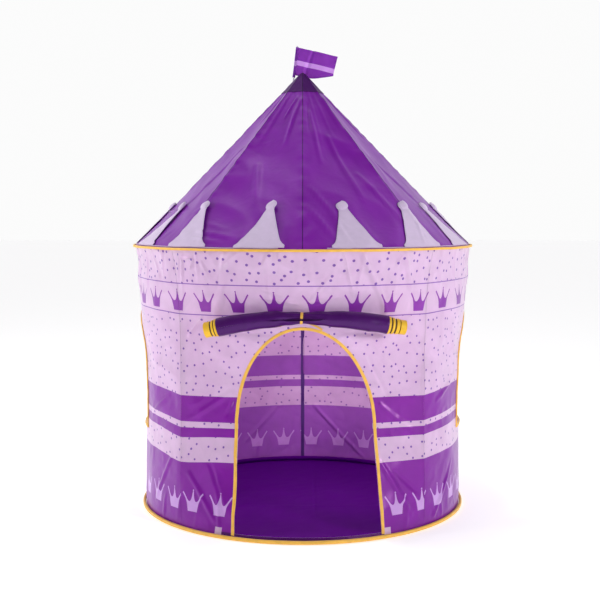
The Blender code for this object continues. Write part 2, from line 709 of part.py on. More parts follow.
def crown_strip(name, side, finish):
    bm = bmesh.new()
    columns = (-1, 0, 1)

    def corner(angle, up):
        return bm.verts.new(on_roof(side * angle, CROWN_START + up, CROWN_LIFT))

    lower, upper = [], []
    half = math.degrees(CROWN_BASE_HALF_WIDTH / EAVE_RADIUS)
    for number in range(CROWNS_PER_STRIP):
        middle = CROWN_FIRST_ANGLE + CROWN_PITCH * number
        if number:
            start = middle - CROWN_PITCH + half
            gap = CROWN_PITCH - 2 * half
            for share in (1 / 3, 2 / 3):
                lower.append(corner(start + gap * share, 0))
                upper.append(corner(start + gap * share, CROWN_BAND))
        foot = [corner(middle + half * column, CROWN_BAND) for column in columns]
        lower += [corner(middle + half * column, 0) for column in columns]
        upper += foot
        below = foot
        rows = crown_rows()
        for width, up in rows[1:]:
            radius = roof_radius(middle, (CROWN_START + up) / SLOPE_LENGTH)
            centre = middle + CROWN_TIP_LEANS[number] * up / CROWN_LENGTH
            wide = math.degrees(width / radius)
            above = [corner(centre + wide * column, up) for column in columns]
            for one, two in ((0, 1), (1, 2)):
                bm.faces.new((below[one], below[two], above[two], above[one]))
            below = above
    for index in range(len(lower) - 1):
        bm.faces.new((lower[index], lower[index + 1], upper[index + 1], upper[index]))
    if side < 0:
        bmesh.ops.reverse_faces(bm, faces=bm.faces)
    made = finished(name, bm, finish)
    solid = made.modifiers.new("thickness", "SOLIDIFY")
    solid.thickness = CROWN_THICKNESS
    solid.offset = 1
    return made


# Rolled door flap
DOOR_TOP = DOOR_SPRING + DOOR_RISE
ROLL_HEIGHT = DOOR_TOP + ROLL_ABOVE_DOOR


def wall_depth(x, height):
    """How far the front wall's facets lie from the tent's axis, at a distance across and a height."""
    rows = [EAVE_HEIGHT * share for share in WALL_ROW_SHARES]
    below = max(row for row in rows[:-1] if row <= height)
    above = rows[rows.index(below) + 1]
    depths = []
    for row in (below, above):
        angle = 0
        for _ in WALL_ROW_SHARES:
            angle = math.degrees(math.asin(x / wall_radius(angle, row)))
        depths.append(wall_radius(angle, row) * math.cos(math.radians(angle)))
    return depths[0] + (depths[1] - depths[0]) * (height - below) / (above - below)


def roll_bow(x):
    """How far the roll's centre line runs back towards the tent and down, away from its middle."""
    share = x / ROLL_HALF_LENGTH
    return ROLL_BEND * share**2, ROLL_DROOP * share**2


def roll_seat():
    """Distance of the roll's middle from the tent's axis, where its back just meets the wall."""
    reach = 0
    for station in range(ROLL_STATIONS // 2):
        x = 2 * ROLL_HALF_LENGTH * station / ROLL_STATIONS
        back, down = roll_bow(x)
        for side in range(ROLL_SIDES):
            turn = 2 * math.pi * side / ROLL_SIDES
            height = ROLL_HEIGHT - down + roll_radius(x) * math.sin(turn)
            reach = max(reach, wall_depth(x, height) + back + roll_radius(x) * math.cos(turn))
    return reach + ROLL_SEAT_GAP


def roll_centre(x):
    back, down = roll_bow(x)
    return Vector((x, -ROLL_SEAT + back, ROLL_HEIGHT - down))


def roll_axis(x):
    share = x / ROLL_HALF_LENGTH
    return Vector((1, 2 * ROLL_BEND * share / ROLL_HALF_LENGTH, -2 * ROLL_DROOP * share / ROLL_HALF_LENGTH))


def roll_radius(x):
    """The roll is drawn in to a waist under its tie."""
    pinch = math.exp(-((x / ROLL_WAIST_REACH) ** 2))
    return ROLL_RADIUS - (ROLL_RADIUS - ROLL_WAIST_RADIUS) * pinch


ROLL_SEAT = roll_seat()


def make_roll(cloths):
    """The roll, its layered ends and its tie all swing on the stitch line above the roll."""
    hinge_height = ROLL_HEIGHT + ROLL_WAIST_RADIUS + HINGE_RISE
    hinge = bpy.data.objects.new("roll_hinge", None)
    hinge.location = (0, -wall_depth(0, hinge_height), hinge_height)
    bpy.context.scene.collection.objects.link(hinge)

    rings = []
    for station in range(ROLL_STATIONS + 1):
        x = ROLL_HALF_LENGTH * (2 * station / ROLL_STATIONS - 1)
        rings.append(circle(roll_centre(x), roll_axis(x), roll_radius(x), ROLL_SIDES))
    pieces = [skin("door_roll", rings, cloths["deep_purple"])]

    for name, side, length in (("left", -1, ROLL_END_LEFT), ("right", 1, ROLL_END_RIGHT)):
        axis = roll_axis(side * ROLL_HALF_LENGTH).normalized() * side
        start = roll_centre(side * ROLL_HALF_LENGTH) + axis * GAP
        rings = []
        for band in range(ROLL_BANDS):
            radius = ROLL_RADIUS - ROLL_BAND_STEP * (band + 1 / 2)
            for share in (band / ROLL_BANDS, (band + 1) / ROLL_BANDS):
                rings.append(circle(start + axis * length * share, axis, radius, ROLL_SIDES))
        pieces.append(skin(f"roll_binding_{name}", rings, cloths["yellow"]))

    half = Vector((TIE_WIDTH / 2, 0, 0))
    middle = roll_centre(0)
    inner = roll_radius(TIE_WIDTH / 2) + GAP
    inner /= math.cos(math.pi / ROLL_SIDES)
    outer = inner + TIE_THICKNESS
    pieces.append(tube("roll_tie", middle - half, middle + half, outer, inner, cloths["yellow"], ROLL_SIDES))
    for piece in pieces:
        piece.parent = hinge
        piece.matrix_parent_inverse = Matrix.Translation(-hinge.location)


def main():
    for made in list(bpy.data.objects):
        bpy.data.objects.remove(made, do_unlink=True)
    finishes = {
        "purple": material("purple_cloth", PURPLE, 0.45),
        "deep_purple": material("deep_purple_cloth", DEEP_PURPLE, 0.40),
        "lilac": material("lilac_cloth", LILAC, 0.50),
        "pale_lilac": material("pale_lilac_cloth", PALE_LILAC, 0.50),
        "yellow": material("yellow_trim", YELLOW, 0.60),
        "floor": material("floor_cloth", FLOOR_PURPLE, 0.45),
        "pole": material("pole", POLE_WHITE, 0.35),
        "fitting": material("fitting", FITTING_GREY, 0.50),
    }
    make_floor_and_piping(finishes)
    make_walls(finishes)
    make_bindings(finishes)
    make_frame(finishes)
    make_roof(finishes)
    make_hub(finishes)
    make_flag(finishes)
    crown_strip("crown_trim_right", 1, finishes["pale_lilac"])
    crown_strip("crown_trim_left", -1, finishes["pale_lilac"])
    make_roll(finishes)


main()
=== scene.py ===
import math

import bpy
import numpy as np
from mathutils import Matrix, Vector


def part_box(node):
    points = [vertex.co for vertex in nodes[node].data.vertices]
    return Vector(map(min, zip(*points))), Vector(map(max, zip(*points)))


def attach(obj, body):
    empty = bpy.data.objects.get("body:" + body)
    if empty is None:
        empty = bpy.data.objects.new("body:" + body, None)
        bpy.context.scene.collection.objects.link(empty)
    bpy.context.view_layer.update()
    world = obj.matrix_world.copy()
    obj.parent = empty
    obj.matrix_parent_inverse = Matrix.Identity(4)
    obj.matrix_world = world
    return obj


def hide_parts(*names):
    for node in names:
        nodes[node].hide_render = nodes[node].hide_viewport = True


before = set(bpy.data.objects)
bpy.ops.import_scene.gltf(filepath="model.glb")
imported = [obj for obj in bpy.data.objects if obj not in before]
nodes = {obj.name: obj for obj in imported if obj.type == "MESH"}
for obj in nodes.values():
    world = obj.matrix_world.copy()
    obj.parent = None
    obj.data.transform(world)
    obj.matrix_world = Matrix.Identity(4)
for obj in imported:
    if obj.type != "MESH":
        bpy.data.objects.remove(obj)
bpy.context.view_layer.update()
mm = 0.001

# Camera, lights and floor
shot = {
    "distance": 3.36,
    "height": 0.904,
    "lens": 63.3,
    "imageWidth": 600,
    "axisPixel": (302.6, 212.0),  # where the level line of sight meets the photograph
    "lights": {  # place, size, power and the point aimed at
        "keyLight": ((3.0, -3.0, 1.4), 0.6, 72, (0, 0, 0.7)),
        "leftLight": ((-3.7, -1.3, 1.3), 0.5, 30, (0, 0, 0.7)),
        "sideLight": ((-3.7, 0.3, 2.2), 0.9, 40, (0, 0, 0.8)),
        "topLight": ((-0.5, 0.4, 3.8), 0.8, 10, (0, 0, 0.9)),
        "clothLight": ((0, 0.02, 0.95), 0.3, 2.6, (0, 0.22, 0)),  # stands for the light through the cloth
    },
    "skyBehind": 0.97,
    "skyInFront": 0.17,
    "skyTurn": (-0.25, 0.45),  # how far to the front and to the back the sky changes
    "floorGlow": 0.44,
    "floorSize": 60,
}


def addLight(name, place, size, power, aim):
    bpy.ops.object.light_add(type="AREA", location=place)
    light = bpy.context.object
    light.name = name
    light.data.size = size
    light.data.energy = power
    away = [there - here for there, here in zip(aim, place)]
    across = math.hypot(away[0], away[1])
    light.rotation_euler = (math.atan2(across, -away[2]), 0, math.atan2(away[1], away[0]) - math.pi / 2)


def setUpShot():
    bpy.ops.object.camera_add(location=(0, -shot["distance"], shot["height"]), rotation=(math.pi / 2, 0, 0))
    camera = bpy.context.object
    camera.data.lens = shot["lens"]
    half = shot["imageWidth"] / 2
    camera.data.shift_x = (half - shot["axisPixel"][0]) / shot["imageWidth"]
    camera.data.shift_y = (shot["axisPixel"][1] - half) / shot["imageWidth"]
    bpy.context.scene.camera = camera
    for name, about in shot["lights"].items():
        addLight(name, *about)
    bpy.context.scene.view_settings.view_transform = "Standard"  # the dyes show as their hex values say
    world = bpy.data.worlds.new("paleStudio")
    world.use_nodes = True
    tree = world.node_tree
    direction = addNode(tree, "SeparateXYZ", {0: addNode(tree, "TexCoord", {})}, output=1)
    front, back = shot["skyTurn"]
    sky = addNode(tree, "MapRange",
                  {"Value": direction, 1: front, 2: back, 3: shot["skyInFront"], 4: shot["skyBehind"]},
                  interpolation_type="SMOOTHSTEP")
    tree.nodes["Background"].inputs["Color"].default_value = (1, 1, 1, 1)
    tree.links.new(sky, tree.nodes["Background"].inputs["Strength"])
    bpy.context.scene.world = world
    bpy.ops.mesh.primitive_plane_add(size=shot["floorSize"], location=(0, 0, -0.5 * mm))
    floor = bpy.context.object
    floor.name = "studioFloor"
    bpy.ops.object.transform_apply(location=True)
    return floor


# Modelling tools
def onlySelect(*pieces):
    bpy.ops.object.select_all(action="DESELECT")
    for piece in pieces:
        piece.select_set(True)
    bpy.context.view_layer.objects.active = pieces[0]


def applyModifier(piece, kind, **settings):
    onlySelect(piece)
    modifier = piece.modifiers.new(kind.title(), kind)
    for key, value in settings.items():
        setattr(modifier, key, value)
    bpy.ops.object.modifier_apply(modifier=modifier.name)


def closeUp(piece, capEnds=True, turnOut=True, flip=False):  # merges meeting edges first
    onlySelect(piece)
    bpy.ops.object.mode_set(mode="EDIT")
    bpy.ops.mesh.select_all(action="SELECT")
    bpy.ops.mesh.remove_doubles(threshold=0.02 * mm)
    if capEnds:
        bpy.ops.mesh.fill_holes(sides=0)
    if turnOut:
        bpy.ops.mesh.select_all(action="SELECT")
        bpy.ops.mesh.normals_make_consistent(inside=False)
    if flip:
        bpy.ops.mesh.flip_normals()
    bpy.ops.object.mode_set(mode="OBJECT")


def join(name, pieces):
    onlySelect(*pieces)
    bpy.ops.object.join()
    pieces[0].name = pieces[0].data.name = name
    return pieces[0]


def mappedGrid(name, columns, rows, place, pattern, *finishes):  # u and v run from 0 to 1
    bpy.ops.object.select_all(action="DESELECT")
    bpy.ops.mesh.primitive_grid_add(x_subdivisions=columns, y_subdivisions=rows, size=1)
    piece = bpy.context.object
    piece.name = name
    mesh = piece.data
    mesh.name = name
    corners = np.empty(len(mesh.vertices) * 3)
    mesh.vertices.foreach_get("co", corners)
    u, v = (corners.reshape(-1, 3)[:, :2] + 0.5).clip(0, 1).T
    mesh.vertices.foreach_set("co", place(u, v).ravel())
    cornerVertices = np.empty(len(mesh.loops), dtype=int)
    mesh.loops.foreach_get("vertex_index", cornerVertices)
    flat = np.stack(np.broadcast_arrays(*pattern(u, v)), axis=-1)[cornerVertices]
    mesh.uv_layers.active.data.foreach_set("uv", flat.ravel())
    mesh.update()
    for finish in finishes:
        mesh.materials.append(finish)
    return piece


def thicken(piece, thickness, offset=-1, even=True):
    applyModifier(piece, "SOLIDIFY", thickness=thickness, offset=offset, use_even_offset=even,
                  material_offset=1)


def finishPiece(piece, body, slotName, *replaced, angle=45):
    onlySelect(piece)
    bpy.ops.object.shade_smooth_by_angle(angle=math.radians(angle))
    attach(piece, body)
    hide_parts(*replaced)
    return piece


# The tent's shape, with angles in degrees from the door, growing towards +X
tent = {
    "baseRadius": 490.5 * mm,
    "eaveRadius": 525 * mm,
    "eaveHeight": 800 * mm,
    "roofRise": 550 * mm,
    "flarePower": 7,
    "frontDraw": 86 * mm,
    "sideBulge": 14 * mm,
    "bulgePower": 3,
    "cloth": 0.9 * mm,
}
tent["slope"] = math.hypot(tent["eaveRadius"], tent["roofRise"])
sides = {"front": 0, "right": 90, "back": 180, "left": 270}
corners = {"front_right": 45, "back_right": 135, "back_left": 225, "front_left": 315}


def around(radius, angle, height):
    turn = np.radians(angle)
    return np.stack(np.broadcast_arrays(radius * np.sin(turn), -radius * np.cos(turn), height), axis=-1)


def angleBetween(angle, middle):
    return (angle - middle + 180) % 360 - 180


def softNoise(across, up, size, seed):  # smooth random heights from -1 to 1, in cells of one size
    cells = np.random.default_rng(seed).uniform(-1, 1, (83, 83))
    x, y = across / size + 41, up / size + 41
    column, row = np.floor(x).astype(int), np.floor(y).astype(int)
    x, y = x - column, y - row
    x, y = x * x * (3 - 2 * x), y * y * (3 - 2 * y)
    low = cells[column % 83, row % 83] * (1 - x) + cells[(column + 1) % 83, row % 83] * x
    high = cells[column % 83, (row + 1) % 83] * (1 - x) + cells[(column + 1) % 83, (row + 1) % 83] * x
    return low * (1 - y) + high * y


def creased(across, up, size, seed):  # the sharp ridges of crumpled cloth, from 1 down to -1
    return 1 - 2 * np.abs(softNoise(across, up, size, seed))


def ridgeProfile(distance, width):  # a ridge with a shallow valley on each side
    share = (distance / width) ** 2
    return (1 - 0.7 * share) * np.exp(-share)


def foldLift(toPlane, folds):  # each fold has two ends on the cloth, and a width and a rise in millimetres
    lift = 0
    for start, end, width, rise in folds:
        x, y, endX, endY = toPlane(start, end)
        along = np.clip((x * endX + y * endY) / (endX**2 + endY**2), 0, 1)
        distance = np.hypot(x - along * endX, y - along * endY)
        fading = rise * mm * np.sin(np.pi * (0.12 + 0.88 * along)) ** 0.6
        lift = lift + fading * ridgeProfile(distance, width * mm)
    return lift


# Wall cloth: hung from the eave hoop, drawn in beside the door, with its tension folds
wall = {
    "columns": 180,
    "rows": 180,
    "hem": 1.7 * mm,
    "top": 799.2 * mm,
    "seamGap": 0.12,  # degrees
    "crumple": 3.4 * mm,
    "crumpleSize": 125 * mm,
    "crinkle": 0.8 * mm,
    "crinkleSize": 38 * mm,
    "foldGain": 2.0,
    "folds": [  # from an angle and a height to an angle and a height
        ((-23.5, 0.795), (-27.5, 0.69), 11, 5.6), ((-27.5, 0.69), (-31.5, 0.617), 11, 5.2),
        ((-20, 0.79), (-34, 0.69), 6, 2.2), ((-36.5, 0.604), (-42.5, 0.548), 7, 3.6),
        ((-41, 0.775), (-36, 0.772), 5, 3.0), ((-36, 0.772), (-38, 0.742), 5, 3.0),
        ((-33, 0.765), (-30, 0.70), 5, 2.4), ((-10, 0.79), (-13, 0.745), 5, 2.0),
        ((-2, 0.652), (-14, 0.668), 6, 3.0), ((-4, 0.665), (-16, 0.70), 6, 1.8),
        ((3, 0.66), (9, 0.73), 6, 2.4), ((2, 0.655), (14, 0.672), 6, 2.2),
        ((-40.5, 0.79), (-43.5, 0.66), 5, 2.0), ((-27, 0.377), (-29.5, 0.323), 5, -2.0),
        ((-43, 0.31), (-27, 0.40), 9, 1.5), ((-42, 0.16), (-30, 0.03), 8, 2.2),
        ((-34, 0.19), (-27, 0.06), 6, -1.8), ((17.5, 0.795), (22.5, 0.73), 8, 4.4),
        ((22.5, 0.73), (27.5, 0.665), 9, 5.2), ((27.5, 0.665), (30.5, 0.60), 8, 4.2),
        ((12.3, 0.795), (17.2, 0.665), 4.5, 2.8), ((33, 0.79), (38, 0.68), 8, 2.4),
        ((36, 0.60), (42, 0.54), 6, 2.0), ((27, 0.53), (38, 0.43), 9, 1.8),
        ((25, 0.50), (33, 0.38), 7, -1.6), ((30, 0.36), (43, 0.27), 8, 1.6),
        ((29, 0.20), (40, 0.04), 8, 2.4), ((34, 0.17), (43, 0.10), 6, -1.6),
        ((-52, 0.37), (-66, 0.30), 8, 1.8), ((-50, 0.20), (-62, 0.05), 8, 2.0),
        ((52, 0.36), (68, 0.42), 8, 1.8), ((50, 0.03), (64, 0.17), 8, 2.2),
        ((174.8, 0.197), (163, 0.095), 7, -3.2), ((163, 0.095), (152, 0.010), 7, -3.2),
        ((190, 0.20), (207, 0.06), 9, -1.6),
    ],
    "eaveTucks": {"count": 46, "from": 0.797, "length": (-0.05, -0.17), "lean": 5,
                  "width": (4, 9), "rise": (0.7, 1.9)},
    "hemTucks": {"count": 34, "from": 0.006, "length": (0.05, 0.15), "lean": 7,
                 "width": (5, 10), "rise": (0.6, 1.8)},
    "edgeFade": (30 * mm, 12 * mm),  # heights over which the folds end at the hem and at the eave
    "poleGuard": 3.5,  # degrees beside a pole where the cloth doesn't move inwards
    "poleKeep": 0.4,  # the share of an outward fold that is left on a pole
    "windowGuard": 24,  # degrees beside a window's middle where its binding holds the cloth flatter
    "windowHold": 0.6,  # the share of a fold that the binding takes away
    "windowTop": 700 * mm,
    "windowFade": (6, 60 * mm),  # degrees and height over which the binding's hold ends
    "rollZone": (28, 0.565, 0.735),  # the half angle and the heights where the roll hangs and swings
    "rollFade": (5, 25 * mm),  # degrees and height over which that zone ends
    "rollDrop": 7 * mm,  # how far the cloth gives way behind the roll, so that its folds don't reach it
}


def tucks(about, seed):  # short folds all the way round, each a little different
    draw = np.random.default_rng(seed)
    made = []
    for number in range(about["count"]):
        angle = 360 * (number + draw.uniform(0.1, 0.9)) / about["count"]
        height = about["from"] + draw.uniform(min(about["length"]), max(about["length"]))
        end = (angle + draw.uniform(-about["lean"], about["lean"]), height)
        width, rise = draw.uniform(*about["width"]), draw.uniform(*about["rise"])
        made.append(((angle, about["from"]), end, width, rise))
    return made


wall["folds"] += tucks(wall["eaveTucks"], 3) + tucks(wall["hemTucks"], 8)


def betweenPoles(angle):
    corner = math.cos(math.radians(45))
    return (1 - corner / np.cos(np.radians((angle + 45) % 90 - 45))) / (1 - corner)


def hungRadius(angle, height):  # the wall as its poles and hoops hold it
    share = np.clip(height / tent["eaveHeight"], 0, 1)
    crease = tent["baseRadius"] + (tent["eaveRadius"] - tent["baseRadius"]) * share ** tent["flarePower"]
    pull = np.where(share < 0.5, np.sin(np.pi * share), np.sin(np.pi * share) ** 2)
    bulge = np.sin(np.pi * share ** tent["bulgePower"]) ** 2
    isFront = np.abs(angleBetween(angle, 0)) <= 45.001
    move = np.where(isFront, -tent["frontDraw"] * pull, tent["sideBulge"] * bulge)
    return crease + betweenPoles(angle) * move


def wallLift(angle, height):
    reach = tent["baseRadius"]

    def toPlane(start, end):
        x = np.radians(angleBetween(angle, start[0])) * reach
        return x, height - start[1], math.radians(end[0] - start[0]) * reach, end[1] - start[1]

    lift = wall["foldGain"] * foldLift(toPlane, wall["folds"])
    across = np.radians(angleBetween(angle, 0)) * reach
    lift = lift + wall["crumple"] * creased(across + height / 2, height, wall["crumpleSize"], 1)
    lift = lift + wall["crinkle"] * creased(across, height - across / 3, wall["crinkleSize"], 2)
    atHem, atEave = wall["edgeFade"]
    edge = np.clip(height / atHem, 0, 1) * np.clip((tent["eaveHeight"] - height) / atEave, 0.15, 1)
    lift = lift * edge
    fromPole = np.clip(np.abs(np.abs((angle + 45) % 90 - 45) - 45) / wall["poleGuard"], 0, 1)
    keep = wall["poleKeep"]
    lift = np.where(lift < 0, lift * fromPole, lift * (keep + (1 - keep) * fromPole))
    aside = np.abs(np.abs(angleBetween(angle, 0)) - 90)
    fadeTurn, fadeHeight = wall["windowFade"]
    held = wall["windowHold"] * np.clip((wall["windowGuard"] - aside) / fadeTurn, 0, 1)
    lift = lift * (1 - held * np.clip((wall["windowTop"] - height) / fadeHeight, 0, 1))
    halfAngle, low, high = wall["rollZone"]
    fadeTurn, fadeHeight = wall["rollFade"]
    beside = np.clip((np.abs(angleBetween(angle, 0)) - halfAngle) / fadeTurn, 0, 1)
    below = np.clip((low - height) / fadeHeight, 0, 1)
    above = np.clip((height - high) / fadeHeight, 0, 1)
    free = np.maximum(beside, np.maximum(below, above))
    lift = lift - wall["rollDrop"] * (1 - free) ** 2
    return np.where(lift > 0, lift * free, lift)


def clothRadius(angle, height):
    return hungRadius(angle, height) + wallLift(angle, height)


def onWall(across, height, middle, out=0.0):  # a point by its distance across from a side's middle
    angle = np.zeros_like(across)
    for _ in range(6):
        angle = np.degrees(np.arcsin(np.clip(across / hungRadius(middle + angle, height), -1, 1)))
    return around(clothRadius(middle + angle, height) + out, middle + angle, height)


stretch = {  # how the hung cloth moves its print
    "front": 0.036,  # gathered towards the middle between two poles, in radians at the most
    "sides": 0.012,
    "narrowing": 0.045,  # the share by which the front's print narrows towards the ground
    "narrowBelow": 0.42,
    "narrowOver": 0.2,
    "bow": 17 * mm,
    "droop": 10 * mm,
    "droopAt": (-45, 0.22),
    "droopSize": (9, 0.07),  # degrees and metres
}


def printAcross(angle, height):  # the print is pulled tight in the middle of the front and of the sides
    isFront = np.abs(angleBetween(angle, 0)) <= 45.001
    turn = np.radians(angleBetween(angle, 0))
    low = np.clip((stretch["narrowBelow"] - height) / stretch["narrowOver"], 0, 1)
    turn = np.where(isFront, turn * (1 - stretch["narrowing"] * low), turn)
    gathered = np.where(isFront, stretch["front"], stretch["sides"])
    return tent["baseRadius"] * (turn - gathered * np.sin(4 * turn))


def printUp(angle, height):  # it bows up between the poles, and droops at the front left one
    share = np.clip(height / tent["eaveHeight"], 0, 1)
    onSides = np.abs(np.abs(angleBetween(angle, 0)) - 90) <= 45.001
    bow = stretch["bow"] * np.sin(np.pi * share) ** 1.5 * betweenPoles(angle) * onSides
    atAngle, atHeight = stretch["droopAt"]
    wide, tall = stretch["droopSize"]
    atPole = np.exp(-((angleBetween(angle, atAngle) / wide) ** 2))
    droop = stretch["droop"] * atPole * np.exp(-(((height - atHeight) / tall) ** 2))
    return height - bow + droop


door = {"sill": 16 * mm, "footHalf": 204 * mm, "half": 189 * mm, "spring": 300 * mm, "rise": 276 * mm,
        "lean": 15 * mm, "leanPower": 1.2, "binding": 9 * mm}
window = {"sill": 256 * mm, "footHalf": 145 * mm, "half": 145 * mm, "spring": 442 * mm, "rise": 145 * mm,
          "lean": 0, "leanPower": 1, "binding": 8 * mm}


def outline(opening, grow=0.0, foot=None, legSteps=12, archSteps=72):
    low = opening["sill"] if foot is None else foot
    share = np.linspace(0, 1, legSteps, endpoint=False)
    turn = np.linspace(0, np.pi, archSteps)
    footAt, springAt = opening["footHalf"] + grow, opening["half"] + grow
    legX = footAt + (springAt - footAt) * share
    legZ = low + (opening["spring"] - low) * share
    x = np.concatenate([-legX, -springAt * np.cos(turn), legX[::-1]])
    z = np.concatenate([legZ, opening["spring"] + (opening["rise"] + grow) * np.sin(turn), legZ[::-1]])
    top = opening["spring"] + opening["rise"]
    return x + opening["lean"] * (1 - (z / top) ** opening["leanPower"]), z


def cutOpening(piece, opening, middle):
    x, z = outline(opening)
    near, far = -0.30, -0.62  # the cutter reaches from inside the tent through this wall
    bpy.ops.object.select_all(action="DESELECT")
    bpy.ops.mesh.primitive_circle_add(vertices=len(x), radius=1, fill_type="NGON")
    cutter = bpy.context.object
    cosine, sine = math.cos(math.radians(middle)), math.sin(math.radians(middle))
    flat = np.stack([x * cosine - near * sine, x * sine + near * cosine, z], -1)
    cutter.data.vertices.foreach_set("co", flat.ravel())
    bpy.ops.object.mode_set(mode="EDIT")
    bpy.ops.mesh.select_all(action="SELECT")
    move = (-(far - near) * sine, (far - near) * cosine, 0)
    bpy.ops.mesh.extrude_region_move(TRANSFORM_OT_translate={"value": move})
    bpy.ops.mesh.select_all(action="SELECT")
    bpy.ops.mesh.normals_make_consistent(inside=False)
    bpy.ops.object.mode_set(mode="OBJECT")
    applyModifier(piece, "BOOLEAN", object=cutter, operation="DIFFERENCE", solver="EXACT")
    bpy.data.objects.remove(cutter)


def makeWalls(finishes):
    for side, middle in sides.items():
        def at(u, v):
            return middle + (u - 0.5) * (90 - wall["seamGap"]), wall["hem"] + (wall["top"] - wall["hem"]) * v

        def place(u, v):
            angle, height = at(u, v)
            return around(clothRadius(angle, height), angle, height)

        def pattern(u, v):
            angle, height = at(u, v)
            wrap = 2 * np.pi * tent["baseRadius"] * (angle > 180.001)
            return printAcross(angle, height) + wrap, printUp(angle, height)

        piece = mappedGrid(f"wall{side.title()}Cloth", wall["columns"], wall["rows"], place, pattern,
                           finishes["printOutside"], finishes["printInside"])
        thicken(piece, tent["cloth"])
        flat = (math.pi / 2 * tent["baseRadius"], tent["eaveHeight"])
        area = flat[0] * flat[1]
        opening = {"front": door, "left": window, "right": window}.get(side)
        if opening:
            cutOpening(piece, opening, middle)
            area -= 2 * opening["half"] * (opening["spring"] - opening["sill"])
            area -= math.pi / 2 * opening["half"] * opening["rise"]
        finishPiece(piece, "root", "lilac_cloth", f"wall_{side}")
    print("walls hung")


# Bindings and pipings: tape folded over the edge of the cloth
tape = {"thickness": 3.4 * mm, "sides": 14, "step": 3 * mm, "squareness": 0.55}
piping = {  # width, height and wave seed, and the height of its middle where the node's own isn't used
    "eave": (6.5 * mm, 7.4 * mm, 21, None),
    "base": (8.5 * mm, 9.8 * mm, 22, 5.8 * mm),
}


def tapeSection(v, width, thickness):  # a flattened round section, by its share of the way round
    turn = 2 * np.pi * v
    square = tape["squareness"]
    across = np.sign(np.cos(turn)) * np.abs(np.cos(turn)) ** square * width / 2
    return across, np.sign(np.sin(turn)) * np.abs(np.sin(turn)) ** square * thickness / 2


def wallTape(name, x, z, width, thickness, middle, closed, finish, out=0.0):
    if closed:
        x, z = np.append(x, x[0]), np.append(z, z[0])
    travelled = np.concatenate([[0], np.cumsum(np.hypot(np.diff(x), np.diff(z)))])
    length = travelled[-1]
    columns = int(length / tape["step"])

    def place(u, v):
        here = u * length
        ahead, behind = here + 4 * mm, here - 4 * mm
        if closed:
            ahead, behind = ahead % length, behind % length
        alongX = np.interp(ahead, travelled, x) - np.interp(behind, travelled, x)
        alongZ = np.interp(ahead, travelled, z) - np.interp(behind, travelled, z)
        size = np.hypot(alongX, alongZ)
        across, rise = tapeSection(v, width, thickness)
        atX = np.interp(here, travelled, x) - alongZ / size * across
        atZ = np.interp(here, travelled, z) + alongX / size * across
        ripple = 0.35 * mm * softNoise(here, across, 24 * mm, 5)
        return onWall(atX, atZ, middle, rise + out + ripple - tent["cloth"] / 2)

    piece = mappedGrid(name, columns, tape["sides"], place, lambda u, v: (u * length, v), finish)
    closeUp(piece)
    return piece


def ringTape(name, ring, height, wide, tall, finish, seed):
    length = 2 * math.pi * ring

    def place(u, v):
        rise, out = tapeSection(v, tall, wide)
        angle = 360 * u
        turn = np.radians(angle)
        wave = 0.5 * mm * softNoise(300 * mm * np.sin(turn), 300 * mm * np.cos(turn), 35 * mm, seed)
        return around(ring + out + wave, angle, height + rise + wave)

    piece = mappedGrid(name, int(length / tape["step"] / 2), tape["sides"], place,
                       lambda u, v: (u * length, v), finish)
    closeUp(piece)
    return piece


def makeBindings(finishes):
    yellow = finishes["yellowTape"]
    x, z = outline(door, grow=door["binding"] / 2, foot=10.8 * mm)
    piece = wallTape("doorBinding", x, z, door["binding"], tape["thickness"], 0, False, yellow)
    finishPiece(piece, "root", "yellow_trim", "door_binding")
    for side in ("left", "right"):
        x, z = outline(window, grow=window["binding"] / 2, foot=window["sill"] - window["binding"] / 2)
        piece = wallTape(f"windowBinding{side.title()}", x, z, window["binding"], 1.8 * tape["thickness"],
                         sides[side], True, yellow, out=1 * mm)
        finishPiece(piece, "root", "yellow_trim", f"window_binding_{side}")
    for edge, (wide, tall, seed, height) in piping.items():
        low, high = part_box(f"{edge}_piping")
        ring = high.x - (high.z - low.z) / 2
        piece = ringTape(f"{edge}Piping", ring, height or (low.z + high.z) / 2, wide, tall, yellow, seed)
        finishPiece(piece, "root", "yellow_trim", f"{edge}_piping")
    print("bindings sewn")


